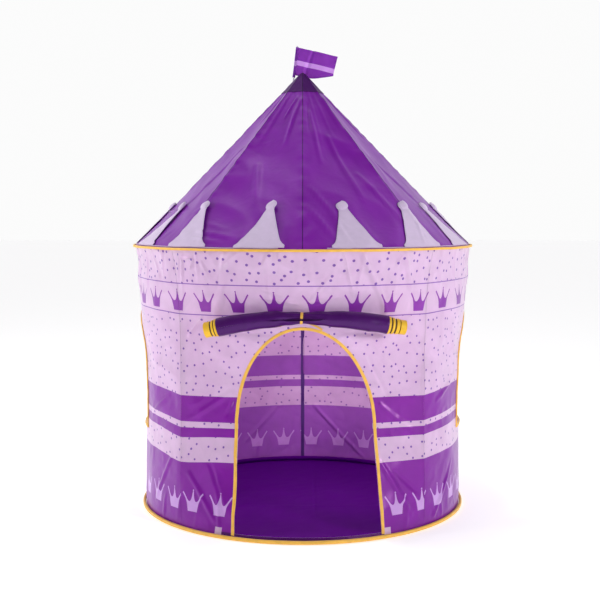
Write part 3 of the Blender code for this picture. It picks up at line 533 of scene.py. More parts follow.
# Roof cloth: eight panels, with ridges over the poles, and the cap at the peak
roof = {
    "columns": 288,
    "rows": 96,
    "firstShare": 0.0035,
    "lastShare": 0.912,
    "panelSag": 6.5 * mm,
    "seamWelt": 0.8 * mm,
    "seamHalf": 5 * mm,
    "pucker": 1.3 * mm,
    "puckerSize": 17 * mm,
    "puckerReach": 16 * mm,
    "crumple": 3.4 * mm,
    "crumpleSize": 110 * mm,
    "crumpleReach": 45 * mm,  # the crumples grow from nothing at a seam to their full depth here
    "sideCalm": (0.7, 85, 25),  # the share by which they are less at the sides, and the angles there
    "foldGain": 1.6,
    "folds": [  # from an angle and a share of the slope to an angle and a share
        ((-30, 0.45), (-20, 0.22), 11, 3.0), ((-5, 0.822), (-15, 0.56), 8, 3.6),
        ((-12, 0.837), (-25, 0.707), 5, 2.0), ((8, 0.80), (6, 0.62), 6, -1.8),
        ((1.3, 0.22), (11, 0.05), 8, 3.0), ((3, 0.32), (16, 0.10), 8, 2.2),
        ((-38, 0.085), (-24, 0.06), 7, 2.4), ((-38, 0.05), (-25, 0.03), 5, 2.0),
        ((-37, 0.13), (-27, 0.10), 7, 1.6), ((24, 0.60), (28, 0.24), 10, 2.6),
        ((10, 0.75), (12, 0.45), 9, 2.4), ((33, 0.40), (40, 0.12), 9, 2.2),
        ((-60, 0.55), (-66, 0.15), 10, 2.6), ((60, 0.50), (70, 0.16), 10, 2.6),
    ],
    "eaveTucks": {"count": 30, "from": 0.01, "length": (0.07, 0.24), "lean": 6,
                  "width": (5, 10), "rise": (0.8, 2.2)},
    "peakTucks": {"count": 18, "from": 0.90, "length": (-0.45, -0.15), "lean": 5,
                  "width": (5, 9), "rise": (0.6, 1.6)},
}
roof["folds"] += tucks(roof["eaveTucks"], 12) + tucks(roof["peakTucks"], 17)
roofOut = (tent["roofRise"] / tent["slope"], tent["eaveRadius"] / tent["slope"])  # outwards and up


def roofRadius(angle, share):
    offMiddle = np.radians(angle % 45 - 22.5)
    flat = math.cos(math.radians(22.5)) / np.cos(offMiddle)
    return tent["eaveRadius"] * (1 - share) * (1 - np.minimum(2 * share, 1) * (1 - flat))


def seamDistance(angle, share):
    fromSeam = 22.5 - np.abs(angle % 45 - 22.5)
    return np.radians(fromSeam) * roofRadius(angle, share)


def roofLift(angle, share):
    narrow = tent["eaveRadius"] / tent["slope"]
    down = tent["slope"] * (1 - share)

    def toPlane(start, end):
        turn = np.radians(angleBetween(angle, start[0])) * narrow
        endTurn = math.radians(end[0] - start[0]) * narrow
        startDown, endDown = tent["slope"] * (1 - start[1]), tent["slope"] * (1 - end[1])
        x, y = down * np.sin(turn), startDown - down * np.cos(turn)
        return x, y, endDown * math.sin(endTurn), startDown - endDown * math.cos(endTurn)

    across = np.radians(angleBetween(angle, 0)) * tent["eaveRadius"] * (1 - share)
    up = share * tent["slope"]
    lift = roof["foldGain"] * foldLift(toPlane, roof["folds"])
    panel = np.sin(np.pi * (angle % 45) / 45)
    lift = lift - roof["panelSag"] * panel * np.sin(np.pi * np.clip(share / 0.95, 0, 1)) ** 0.8
    fromSeam = seamDistance(angle, share)
    calm, sideAngle, sideHalf = roof["sideCalm"]
    atSides = np.exp(-(((np.abs(angleBetween(angle, 0)) - sideAngle) / sideHalf) ** 4))
    soft = roof["crumple"] * np.clip(fromSeam / roof["crumpleReach"], 0, 1) * (1 - calm * atSides)
    lift = lift + soft * creased(across, up + across / 2, roof["crumpleSize"], 31)
    nearSeam = np.exp(-((fromSeam / roof["puckerReach"]) ** 2))
    lift = lift + roof["pucker"] * nearSeam * softNoise(across * 0.3, up, roof["puckerSize"], 32)
    lift = lift + roof["seamWelt"] * np.exp(-((fromSeam / roof["seamHalf"]) ** 4))
    ends = np.clip(share / 0.02, 0.1, 1) * np.clip((0.93 - share) / 0.10, 0.1, 1)
    return lift * ends


def onRoof(angle, share, out=0.0):
    lift = roofLift(angle, share) + out
    radius = roofRadius(angle, share) + lift * roofOut[0]
    return around(radius, angle, tent["eaveHeight"] + tent["roofRise"] * share + lift * roofOut[1])


def makeRoof(finishes):
    def shareAt(v):
        return roof["firstShare"] + (roof["lastShare"] - roof["firstShare"]) * v

    def place(u, v):
        return onRoof(360 * u, shareAt(v))

    def pattern(u, v):
        return seamDistance(360 * u, shareAt(v)), shareAt(v) * tent["slope"]

    piece = mappedGrid("roofCloth", roof["columns"], roof["rows"], place, pattern,
                       finishes["roofCloth"], finishes["roofInside"])
    closeUp(piece, capEnds=False, turnOut=False)
    thicken(piece, tent["cloth"])
    panels = [name for name in nodes if name.startswith("roof_panel_")]
    finishPiece(piece, "root", "purple_cloth", *panels)
    print("roof stretched")


cap = {"radius": 67 * mm, "lift": 1.3 * mm, "rimFlare": 0.5 * mm, "rimShare": 0.008, "pleat": 0.9 * mm,
       "pucker": (0.5 * mm, 9 * mm), "tip": 5 * mm, "tipDrop": 0.35,
       "postPlace": (-31 * mm, 14 * mm), "postLean": 6.7, "eyelet": 4.2 * mm}


def makeCap(finishes):
    first = 1 - cap["radius"] / tent["eaveRadius"]

    def place(u, v):
        angle, share = 360 * u, first + (0.9985 - first) * v
        rim = np.exp(-((share - first) / cap["rimShare"]))
        pleat = cap["pleat"] * np.abs(np.sin(np.radians(4 * angle))) * (1 - v) ** 0.5
        depth, size = cap["pucker"]
        puckers = depth * softNoise(angle * mm, v * 0.05, size, 41)
        out = cap["lift"] + cap["rimFlare"] * rim - pleat * 0.5 + puckers
        roundTip = cap["tip"] * np.exp(-(((1 - share) * tent["eaveRadius"] / cap["tip"]) ** 2))
        radius = (roofRadius(angle, share) + out * roofOut[0] * np.clip((1 - v) * 8, 0, 1)) * (v < 0.9999)
        height = tent["eaveHeight"] + tent["roofRise"] * share + out * roofOut[1]
        height = height - roundTip * cap["tipDrop"]
        return around(radius, angle, height)

    def pattern(u, v):
        share = first + (1 - first) * v
        return seamDistance(360 * u, share), (share - first) * tent["slope"]

    piece = mappedGrid("capCloth", 128, 36, place, pattern, finishes["capCloth"])
    closeUp(piece, capEnds=False)
    thicken(piece, tent["cloth"])
    x, y = cap["postPlace"]
    bpy.ops.object.select_all(action="DESELECT")
    bpy.ops.mesh.primitive_cylinder_add(vertices=24, radius=cap["eyelet"], depth=60 * mm,
                                        location=(x, y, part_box("roof_cap")[1].z - 40 * mm),
                                        rotation=(0, math.radians(cap["postLean"]), 0))
    punch = bpy.context.object
    applyModifier(piece, "BOOLEAN", object=punch, operation="DIFFERENCE", solver="EXACT")
    bpy.data.objects.remove(punch)
    finishPiece(piece, "root", "deep_purple_cloth", "roof_cap")
    print("cap sewn")


# Crown trim: tall points cut from soft cloth, each with a padded ball, that stand up the roof
crown = {
    "count": 7,
    "first": 15.15,
    "pitch": 24.9,
    "leans": (-1, 4, 1, 0, -1, -4, 1),
    "baseHalf": 61 * mm,
    "flare": 11 * mm,
    "flareShare": 0.06,
    "neckHalf": 12.5 * mm,
    "length": 172 * mm,
    "ball": 15.5 * mm,
    "concavity": 1.08,
    "band": 8 * mm,
    "shownBand": 1.5 * mm,
    "shift": (1.7, 0.8, 0.4, 0, -0.4, 0, 0),  # degrees towards +X, from the door backwards
    "start": 7 * mm,
    "lift": 2.4 * mm,
    "standOff": 7.5 * mm,
    "standLess": 0.28,  # each point from the door backwards stands off by this share less
    "curl": 1.2 * mm,
    "wave": (1.1 * mm, 28 * mm),
    "neckSeam": (1.2 * mm, 1.6 * mm),  # depth and width
    "ballPuff": 5.5 * mm,
    "thickness": 1.3 * mm,
}


def crownHalf(up):
    middle = crown["length"] - crown["ball"]
    neck = middle - crown["ball"]
    share = np.clip((up - crown["band"]) / (neck - crown["band"]), 0, 1)
    cone = crown["neckHalf"] + (crown["baseHalf"] - crown["neckHalf"]) * (1 - share) ** crown["concavity"]
    cone = cone + crown["flare"] * np.exp(-share / crown["flareShare"])
    circle = np.sqrt(np.clip(crown["ball"] ** 2 - (up - middle) ** 2, 0, None))
    return np.where(up > middle, circle, np.maximum(circle, np.where(up < middle, cone, 0)))


def makeCrownTrim(name, side, finish):
    flaps = []
    half = math.degrees((crown["baseHalf"] + crown["flare"]) / tent["eaveRadius"])
    lastAngle = crown["first"] + crown["pitch"] * (crown["count"] - 1)

    def share(up):
        return (crown["start"] + up) / tent["slope"]

    for number in range(crown["count"]):
        middle = crown["first"] + crown["pitch"] * number + side * crown["shift"][number]
        lean = crown["leans"][number]

        def upAt(v):
            return crown["length"] * np.sin(np.pi / 2 * v)

        def place(u, v):
            up, x = upAt(v), 2 * u - 1
            width = crownHalf(up)
            angle = middle + lean * up / crown["length"]
            radius = roofRadius(side * angle, share(up))
            angle = side * (angle + np.degrees(width / radius) * x)
            rise = up / crown["length"]
            ballMiddle = crown["length"] - crown["ball"]
            inBall = np.clip(1 - ((up - ballMiddle) ** 2 + (x * width) ** 2) / crown["ball"] ** 2, 0, 1)
            puff = crown["ballPuff"] * np.sqrt(inBall) * (up > ballMiddle - crown["ball"])
            depth, wide = crown["neckSeam"]
            neckSeam = depth * np.exp(-(((up - ballMiddle + 0.84 * crown["ball"]) / wide) ** 2))
            toRight = side * x
            stand = crown["standOff"] * (1 - crown["standLess"] * min(number, 3))
            curl = stand * rise**0.7 * (0.45 + 0.55 * toRight) + crown["curl"] * rise - neckSeam
            depth, size = crown["wave"]
            wave = depth * softNoise(x * width + number * 0.3, up, size, 51)
            return onRoof(angle, share(up), crown["lift"] + puff + curl + wave * np.sin(np.pi * rise))

        def pattern(u, v):
            up = upAt(v)
            return (1 - np.abs(2 * u - 1)) * crownHalf(up), up

        flaps.append(mappedGrid(f"{name}Point{number}", 22, 64, place, pattern, finish))

    def bandPlace(u, v):
        angle = side * (crown["first"] - half + (lastAngle - crown["first"] + 2 * half) * u)
        return onRoof(angle, share(crown["shownBand"] * v - 2 * mm), crown["lift"] - 0.5 * mm)

    flaps.append(mappedGrid(f"{name}Band", 420, 3, bandPlace,
                            lambda u, v: (5 * mm + 0 * u, crown["band"] * v), finish))
    piece = join(name, flaps)
    closeUp(piece, capEnds=False, turnOut=False, flip=side < 0)
    thicken(piece, crown["thickness"], 1, even=False)
    node = "crown_trim_right" if side > 0 else "crown_trim_left"
    finishPiece(piece, "root", "pale_lilac_cloth", node, angle=60)


# Rolled door flap with its layered ends, its tie and the seam that it hangs from
roll = {
    "half": 232.5 * mm,
    "seat": 479.4 * mm,
    "bend": 20 * mm,
    "height": 613.5 * mm,
    "droopLeft": 27 * mm,
    "droopRight": 20 * mm,
    "radius": 25.3 * mm,
    "waist": 14.2 * mm,
    "waistReach": 75 * mm,
    "waistBack": 2.5 * mm,
    "layer": 1.7 * mm,
    "endLeft": 35 * mm,
    "endRight": 50 * mm,
    "barrel": 0.7,  # the share of an end's mesh on its round side: the rest is its flat face
    "spiral": (1.6 * mm, 3 * mm, 4),  # how the wound layers show in that face: depth, hollow and turns
    "grooves": {"left": ((7.5, 2.8), (17, 4.4)),  # place and width, in millimetres
                "right": ((8.5, 4.4), (20, 4.8), (33, 2.4))},
    "bandStep": 1.3 * mm,
    "groove": 2.6 * mm,
    "pleats": (1.1 * mm, 9),  # depth and number, beside the tie
    "creases": (0.9 * mm, 42 * mm),  # depth and size
    "outerEnd": 0.62,  # where the outer layer ends, as a share of the way round
    "tieAt": -3 * mm,
    "tieWidth": 8 * mm,
}
# The flap's top edge is sewn to the wall in a shallow arch over the door's own binding
flapSeam = {"from": -64 * mm, "to": 55 * mm, "middle": -4 * mm, "half": 60 * mm, "top": 601 * mm,
            "arch": 19 * mm, "slant": 6 * mm, "width": 6 * mm, "thickness": 3 * mm, "out": 1.2 * mm}


def rollAxis(x):
    share = x / roll["half"]
    pinch = np.exp(-((np.abs(x) / (0.5 * roll["waistReach"])) ** 2))
    droop = np.where(x < 0, roll["droopLeft"], roll["droopRight"])
    y = -roll["seat"] + roll["bend"] * share**2 + roll["waistBack"] * pinch
    return np.stack([x, y, roll["height"] - droop * share**2], -1)


def rollRadius(x):
    pinch = np.exp(-((np.abs(x) / roll["waistReach"]) ** 1.3))
    return roll["radius"] - (roll["radius"] - roll["waist"]) * pinch


def roundAxis(x, turn, radius):  # a point round the roll, with its turn counted from the front, upwards
    ahead, behind = rollAxis(x + mm), rollAxis(x - mm)
    along = (ahead - behind) / np.linalg.norm(ahead - behind, axis=-1, keepdims=True)
    up = np.stack([np.zeros_like(x), np.zeros_like(x), np.ones_like(x)], -1)
    front = np.cross(along, up)
    front /= np.linalg.norm(front, axis=-1, keepdims=True)
    up = np.cross(front, along)
    return rollAxis(x) + (front * np.cos(turn)[:, None] + up * np.sin(turn)[:, None]) * radius[:, None]


def makeRoll(finishes):
    def place(u, v):
        x = roll["half"] * (2 * u - 1)
        turn = 2 * np.pi * v
        pinch = np.exp(-((np.abs(x) / (60 * mm)) ** 2))
        free = roll["outerEnd"] + 0.05 * softNoise(x, 0 * x, 90 * mm, 61)
        wound = roll["layer"] * ((v - free) % 1)
        depth, count = roll["pleats"]
        pleats = depth * pinch * np.sin(count * turn + 30 * x)
        besideTie = np.exp(-(((np.abs(x) - 55 * mm) / (40 * mm)) ** 2))
        slack = 0.9 * mm * np.sin(x / (9 * mm) + 2.2 * turn) * besideTie
        depth, size = roll["creases"]
        crumple = depth * creased(x, turn * 25 * mm, size, 62)
        radius = rollRadius(x) - roll["layer"] / 2 + wound + pleats + slack + crumple
        return roundAxis(x, turn, radius)

    piece = mappedGrid("doorRoll", 320, 128, place,
                       lambda u, v: (2 * roll["half"] * u, 0.16 * v), finishes["rollCloth"])
    closeUp(piece)
    finishPiece(piece, "door_roll", "deep_purple_cloth", "door_roll")

    for side, length in (("left", roll["endLeft"]), ("right", roll["endRight"])):
        sign = -1 if side == "left" else 1

        def endPlace(u, v):
            turn = 2 * np.pi * v
            share = np.clip(u / roll["barrel"], 0, 1)
            inward = np.clip((u - roll["barrel"]) / (1 - roll["barrel"]), 0, 1)
            along = share * length
            offs = [((along - at * mm), wide * mm) for at, wide in roll["grooves"][side]]
            grooves = sum(np.exp(-((2 * off / wide) ** 4)) for off, wide in offs)
            steps = sum(1 / (1 + np.exp(-off / (0.8 * mm))) for off, wide in offs)
            radius = roll["radius"] - 1.0 * mm - steps * roll["bandStep"] - roll["groove"] * grooves
            radius = radius + 0.5 * mm * softNoise(along, turn * 20 * mm, 12 * mm, 63)
            depth, hollow, turns = roll["spiral"]
            spiral = np.cos(2 * np.pi * (turns * inward + v))
            along = along + (depth * spiral - hollow * inward) * (inward > 0)
            x = sign * roll["half"] + 0 * u
            point = roundAxis(x, turn, radius * (1 - 0.98 * inward))
            direction = rollAxis(x + sign * mm) - rollAxis(x)
            direction /= np.linalg.norm(direction, axis=-1, keepdims=True)
            return point + direction * (along + 0.4 * mm)[:, None]

        def endPattern(u, v):
            return np.clip(u / roll["barrel"], 0, 1) * length + 0.02 * (u > roll["barrel"]) * u, v

        piece = mappedGrid(f"rollEnd{side.title()}", 120, 72, endPlace,
                           endPattern, finishes["rollEnd" + side.title()])
        closeUp(piece)
        finishPiece(piece, "door_roll", "yellow_trim", f"roll_binding_{side}")

    def tiePlace(u, v):
        across, out = tapeSection(v, roll["tieWidth"], 2.2 * mm)
        x = roll["tieAt"] + across + 1.2 * mm * np.sin(2 * np.pi * u)
        return roundAxis(x, 2 * np.pi * u, rollRadius(0 * x) + 1.3 * mm + out)

    piece = mappedGrid("rollTie", 72, tape["sides"], tiePlace,
                       lambda u, v: (0.1 * u, v), finishes["yellowTape"])
    closeUp(piece)
    finishPiece(piece, "door_roll", "yellow_trim", "roll_tie")

    x = np.linspace(flapSeam["from"], flapSeam["to"], 60)
    share = (x - flapSeam["middle"]) / flapSeam["half"]
    z = flapSeam["top"] - flapSeam["arch"] * share**2 - flapSeam["slant"] * share
    piece = wallTape("flapSeam", x, z, flapSeam["width"], flapSeam["thickness"], 0, False,
                     finishes["yellowTape"], out=flapSeam["out"])
    finishPiece(piece, "root", "yellow_trim")
    print("door flap rolled")


# Floor sheet, sleeves, seam tape and the hem round the base hoop
floorSheet = {
    "lift": 1.25 * mm,
    "crumples": ((1.6 * mm, 130 * mm), (0.8 * mm, 47 * mm)),  # depth and size
    "foldMarks": (38 * mm, -120 * mm),  # where it lay folded in its bag, across X and across Y
    "foldRise": 1.2 * mm,
    "thickness": 1.0 * mm,
}


def makeFloor(finishes):
    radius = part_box("floor_sheet")[1].x

    def place(u, v):
        out = radius * v
        angle = 360 * u
        x, y = out * np.sin(np.radians(angle)), -out * np.cos(np.radians(angle))
        (deep, wide), (shallow, narrow) = floorSheet["crumples"]
        rise = deep * np.abs(softNoise(x + y / 3, y, wide, 71))
        rise = rise + shallow * np.abs(softNoise(x, y - x / 2, narrow, 72))
        foldX, foldY = floorSheet["foldMarks"]
        creases = ridgeProfile(x - foldX, 6 * mm) + ridgeProfile(y - foldY, 6 * mm)
        rise = (rise + floorSheet["foldRise"] * creases.clip(0)) * np.clip((radius - out) / (30 * mm), 0, 1)
        return around(out, angle, floorSheet["lift"] + rise)

    piece = mappedGrid("floorSheet", 240, 90, place,
                       lambda u, v: (radius * v * np.sin(2 * np.pi * u), -radius * v * np.cos(2 * np.pi * u)),
                       finishes["floorCloth"])
    closeUp(piece, capEnds=False, turnOut=False, flip=True)
    thicken(piece, floorSheet["thickness"])
    finishPiece(piece, "root", "floor_cloth", "floor_sheet")


sleeve = {"slack": (0.35 * mm, 22 * mm), "inset": 0.4 * mm, "thickness": 0.6 * mm}


def makeSleeves(finish):
    for corner, middle in corners.items():
        low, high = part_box(f"wall_sleeve_{corner}")
        ring = math.hypot((low.x + high.x) / 2, (low.y + high.y) / 2)
        outer = (high.x - low.x) / 2 - sleeve["inset"]

        def place(u, v):
            height = low.z + (high.z - low.z) * v
            turn = 2 * np.pi * u
            depth, size = sleeve["slack"]
            slack = depth * softNoise(turn * 10 * mm, height, size, 81) - depth
            centre = around(ring + 0 * u, middle, height)
            return centre + np.stack([np.cos(turn), np.sin(turn), 0 * turn], -1) * (outer + slack)[:, None]

        piece = mappedGrid(f"wallSleeve{corner.title().replace('_', '')}", 32, 140, place,
                           lambda u, v: (1.5 + 0.07 * u, low.z + (high.z - low.z) * v), finish)
        closeUp(piece, capEnds=False, turnOut=False)
        thicken(piece, sleeve["thickness"])
        finishPiece(piece, "root", "lilac_cloth", f"wall_sleeve_{corner}")


seamTape = {"uneven": (0.1, 40 * mm), "behind": 1.3 * mm, "thickness": 0.7 * mm}


def makeSeamTape(finish):
    low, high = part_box("back_seam_tape")
    halfAngle = math.degrees((high.x - low.x) / 2 / tent["baseRadius"])

    def place(u, v):
        height = low.z + (high.z - low.z) * v
        uneven, size = seamTape["uneven"]
        angle = 180 + halfAngle * (2 * u - 1) * (1 + uneven * softNoise(height, 0 * u, size, 91))
        return around(clothRadius(180 + 0 * u, height) - tent["cloth"] - seamTape["behind"], angle, height)

    piece = mappedGrid("backSeamTape", 6, 160, place, lambda u, v: (0.012 * u, 0.7 * v), finish)
    thicken(piece, seamTape["thickness"], 1)
    finishPiece(piece, "root", "deep_purple_cloth", "back_seam_tape")


hem = {"span": 79, "radius": 6.2 * mm, "pucker": (0.6 * mm, 14 * mm),  # one between each two base connectors
       "lowerStretch": 1.3}


def makeHems(finish):
    low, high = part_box("base_hoop_right")
    ring, height = high.x - (high.z - low.z) / 2, (low.z + high.z) / 2
    for side, middle in sides.items():
        def place(u, v):
            angle = middle + hem["span"] * (u - 0.5)
            turn = 2 * np.pi * v
            depth, wide = hem["pucker"]
            size = hem["radius"] + depth * softNoise(np.radians(angle) * ring, turn * 6 * mm, wide, 95)
            rise = size * np.sin(turn) * np.where(turn > np.pi, hem["lowerStretch"], 1)
            return around(ring + size * np.cos(turn), angle, height + rise)

        piece = mappedGrid(f"hoopHem{side.title()}", 220, 20, place,
                           lambda u, v: (math.radians(hem["span"]) * ring * u, 0.034 * v), finish)
        closeUp(piece)
        finishPiece(piece, "root", "deep_purple_cloth")


# Flag: a small banner whose sleeve turns on its post, with its far lower corner curled under
flag = {
    "place": (-27.38 * mm, 14 * mm, 1342.24 * mm),
    "lean": 6.7,
    "length": 134 * mm,
    "height": 89.5 * mm,
    "sag": 14 * mm,
    "curlRadius": 9 * mm,
    "curlDepth": 36 * mm,
    "sleeve": 4.4 * mm,
    "sleeveFrom": -8 * mm,
    "wave": 3.5 * mm,
    "fold": 4.5 * mm,
    "foldWidth": 7 * mm,
    "curlTurn": 2.6,  # radians
    "narrowing": 0.13,
    "behind": 2.5 * mm,  # how far the banner hangs behind the middle of its post
    "thickness": 0.7 * mm,
}


def flagToWorld(x, y, z):
    turn = math.radians(flag["lean"])
    return np.stack([flag["place"][0] + x * math.cos(turn) + z * math.sin(turn),
                     flag["place"][1] + y,
                     flag["place"][2] - x * math.sin(turn) + z * math.cos(turn)], -1)


def makeFlag(finishes):
    def place(u, v):
        fromTop = flag["height"] * (1 - v)
        curlFrom = flag["height"] - flag["curlDepth"] * u**1.5
        past = np.clip(fromTop - curlFrom, 0, None)
        bend = np.minimum(past / flag["curlRadius"], flag["curlTurn"])
        flat = fromTop - past
        z = flag["height"] - flat - flag["curlRadius"] * np.sin(bend) - flag["sag"] * u
        wave = flag["wave"] * np.sin(2 * np.pi * (1.15 * u + 0.2 * v)) * np.clip(4 * u, 0, 1)
        fold = flag["fold"] * ridgeProfile((u - 0.24 - 0.14 * v) * flag["length"], flag["foldWidth"])
        y = flag["behind"] + wave * np.clip(3 * u, 0, 1) + fold + flag["curlRadius"] * (1 - np.cos(bend))
        x = flag["sleeve"] * 0.6 + (flag["length"] - flag["sleeve"]) * u - flag["narrowing"] * flat * u**2
        return flagToWorld(x, y + 1.5 * mm, z)

    def pattern(u, v):
        return flag["length"] * u, flag["height"] * (1 - v)

    banner = mappedGrid("flagBanner", 96, 64, place, pattern, finishes["flagCloth"])
    thicken(banner, flag["thickness"])

    def sleevePlace(u, v):
        turn = 2 * np.pi * u
        size = flag["sleeve"] + 0.4 * mm * softNoise(turn * 4 * mm, v * flag["height"], 9 * mm, 99)
        height = flag["sleeveFrom"] + (flag["height"] - flag["sleeveFrom"]) * v
        return flagToWorld(size * np.cos(turn), size * np.sin(turn), height)

    tube = mappedGrid("flagSleeve", 28, 48, sleevePlace, pattern, finishes["flagCloth"])
    closeUp(tube, capEnds=False, turnOut=False)
    thicken(tube, flag["thickness"])
    piece = join("flagCloth", [banner, tube])
    finishPiece(piece, "flag", "purple_cloth", "flag")
    print("flag hung")


# Materials
waveStep = 0.314  # metres between a wave texture's bands at scale 1


def hexColour(code):
    channels = [int(code[at:at + 2], 16) / 255 for at in (1, 3, 5)]
    linear = [c / 12.92 if c <= 0.04045 else ((c + 0.055) / 1.055) ** 2.4 for c in channels]
    return (*linear, 1)


def newMaterial(name, **constants):
    material = bpy.data.materials.new(name)
    material.use_nodes = True
    shader = material.node_tree.nodes["Principled BSDF"]
    for key, value in constants.items():
        shader.inputs[key.replace("_", " ").title().replace("Ior", "IOR")].default_value = value
    return material, material.node_tree, shader


def addNode(tree, kind, inputs, output=0, **settings):  # gives back one output of the new node
    node = tree.nodes.new(f"ShaderNode{kind}")
    for key, value in settings.items():
        setattr(node, key, value)
    for key, value in inputs.items():
        if isinstance(value, bpy.types.NodeSocket):
            tree.links.new(value, node.inputs[key])
        else:
            node.inputs[key].default_value = value
    return node.outputs[output]


def clothPlace(tree):  # across and up the cloth, in metres, from its own map
    uv = addNode(tree, "UVMap", {})
    split = addNode(tree, "SeparateXYZ", {0: uv})
    return uv, split, split.node.outputs[1]


def wovenBump(tree, shader, uv, thread, crinkle, crinkleSize):
    # the plain weave of the threads, drawn coarse enough to show, with the small creases of thin polyester
    bands = [addNode(tree, "TexWave", {"Vector": uv, "Scale": waveStep / thread}, output=1,
                     wave_type="BANDS", bands_direction=axis) for axis in "XY"]
    weave = addNode(tree, "Math", {0: bands[0], 1: bands[1]}, operation="MULTIPLY")
    coordinates = addNode(tree, "TexCoord", {}, output=3)
    crumple = addNode(tree, "TexNoise", {"Vector": coordinates, "Scale": 1 / crinkleSize, "Detail": 5,
                                         "Roughness": 0.55, "Distortion": 0.6})
    fine = addNode(tree, "Bump", {"Height": weave, "Strength": 0.25, "Distance": 0.08 * mm})
    bump = addNode(tree, "Bump", {"Height": crumple, "Strength": 0.5, "Distance": crinkle, "Normal": fine})
    tree.links.new(bump, shader.inputs["Normal"])
    return crumple


def dyeWithCrestSheen(tree, shader, noise, toneAndSheenAmount, code, layers=()):  # prints the layers on the ground colour, unevenly; the colour rises and falls with the noise that raises the crinkles, partly uneven dye and partly a painted sheen on their crests
    colour = hexColour(code)
    for mask, ink in layers:
        colour = addNode(tree, "Mix", {0: mask, 6: colour, 7: hexColour(ink)}, output=2, data_type="RGBA")
    # painted sheen: brighter where the crinkle noise is high, darker where it is low
    toneAndSheenFactor = addNode(tree, "MapRange", {"Value": noise, 1: 0.3, 2: 0.7, 3: 1 - toneAndSheenAmount, 4: 1 + toneAndSheenAmount})
    colour = colour if layers else colour[:3]
    colourWithSheen = addNode(tree, "VectorMath", {0: colour, "Scale": toneAndSheenFactor}, operation="SCALE")
    tree.links.new(colourWithSheen, shader.inputs["Base Color"])


def bandMask(tree, up, edges, first=0):  # 0 or 1 by height, changing at each edge
    share = addNode(tree, "Math", {0: up, 1: tent["eaveHeight"]}, operation="DIVIDE")
    ramp = addNode(tree, "ValToRGB", {0: share})
    stops = ramp.node.color_ramp
    stops.interpolation = "CONSTANT"
    values = [(number + first) % 2 for number in range(len(edges) + 1)]
    stops.elements[0].position = 0
    stops.elements[0].color = (values[0],) * 3 + (1,)
    stops.elements.remove(stops.elements[1])
    for edge, value in zip(edges, values[1:]):
        stops.elements.new(edge / tent["eaveHeight"]).color = (value, value, value, 1)
    return ramp


printed = {
    "bands": (199, 267, 292, 308, 381),  # millimetres up: purple, lilac, purple, lilac, purple, lilac
    "lines": (611.5, 700),
    "lineWidth": 3.6,
    "dotted": (199, 267, 292, 308, 381, 611, 701, 800),
    "dotSpacing": 29 * mm,
    "dotRadius": 3.2 * mm,
    "upperDotRadius": 3.8 * mm,
    "crownHalf": 35.5 * mm,
    "crownHeight": 60 * mm,
    "patch": (209 * mm, 231 * mm, 27 * mm),  # bare squares at the door's feet, from and to the side, and up
    "sill": 17 * mm,  # the floor cloth is turned up this far under the door
    "crownTips": ((0, 1.0), (1.0, 0.84)),  # in half widths and heights
    "tipRadius": 2.2 * mm,
    "crownTop": ((0, 1.0), (0.04, 0.93), (0.09, 0.74), (0.15, 0.60), (0.24, 0.50), (0.35, 0.465),
                 (0.48, 0.49), (0.60, 0.57), (0.70, 0.65), (0.80, 0.74), (0.90, 0.83), (1.0, 0.90)),
    "crownSide": ((0, 0.51), (0.22, 0.575), (0.42, 0.65), (0.53, 0.73), (0.61, 0.80), (0.68, 0.88),
                  (0.75, 0.96), (0.79, 1.0), (1.0, 1.0)),
    "upperCrown": {"foot": 623.5 * mm, "count": 29, "first": 4.2},
    "lowerCrown": {"foot": 56 * mm, "count": 32, "first": -3.5},
}


def crownRow(tree, across, up, row):
    reach = tent["baseRadius"]
    pitch = 2 * math.pi * reach / row["count"]
    shifted = addNode(tree, "Math", {0: across, 1: math.radians(row["first"]) * reach}, operation="SUBTRACT")
    wrapped = addNode(tree, "Math", {0: shifted, 1: pitch / 2, 2: -pitch / 2}, operation="WRAP")
    aside = addNode(tree, "Math", {0: wrapped}, operation="ABSOLUTE")
    share = addNode(tree, "Math", {0: aside, 1: printed["crownHalf"]}, operation="DIVIDE")
    lifted = addNode(tree, "Math", {0: up, 1: row["foot"]}, operation="SUBTRACT")
    rise = addNode(tree, "Math", {0: lifted, 1: printed["crownHeight"]}, operation="DIVIDE")
    limits = []
    for value, points in ((share, printed["crownTop"]), (rise, printed["crownSide"])):
        curve = addNode(tree, "FloatCurve", {1: value})
        drawn = curve.node.mapping.curves[0]
        drawn.points[0].location, drawn.points[1].location = points[0], points[-1]
        for point in points[1:-1]:
            drawn.points.new(*point)
        curve.node.mapping.update()
        limits.append(curve)
    under = addNode(tree, "Math", {0: rise, 1: limits[0]}, operation="LESS_THAN")
    within = addNode(tree, "Math", {0: share, 1: limits[1]}, operation="LESS_THAN")
    above = addNode(tree, "Math", {0: rise, 1: 0.0}, operation="GREATER_THAN")
    body = addNode(tree, "Math", {0: under, 1: within}, operation="MULTIPLY")
    mask = addNode(tree, "Math", {0: body, 1: above}, operation="MULTIPLY")
    here = addNode(tree, "CombineXYZ", {0: aside, 1: lifted})
    for tipX, tipZ in printed["crownTips"]:
        tip = (tipX * printed["crownHalf"], tipZ * printed["crownHeight"], 0)
        distance = addNode(tree, "VectorMath", {0: here, 1: tip}, output=1, operation="DISTANCE")
        ball = addNode(tree, "Math", {0: distance, 1: printed["tipRadius"]}, operation="LESS_THAN")
        mask = addNode(tree, "Math", {0: mask, 1: ball}, operation="MAXIMUM")
    return mask


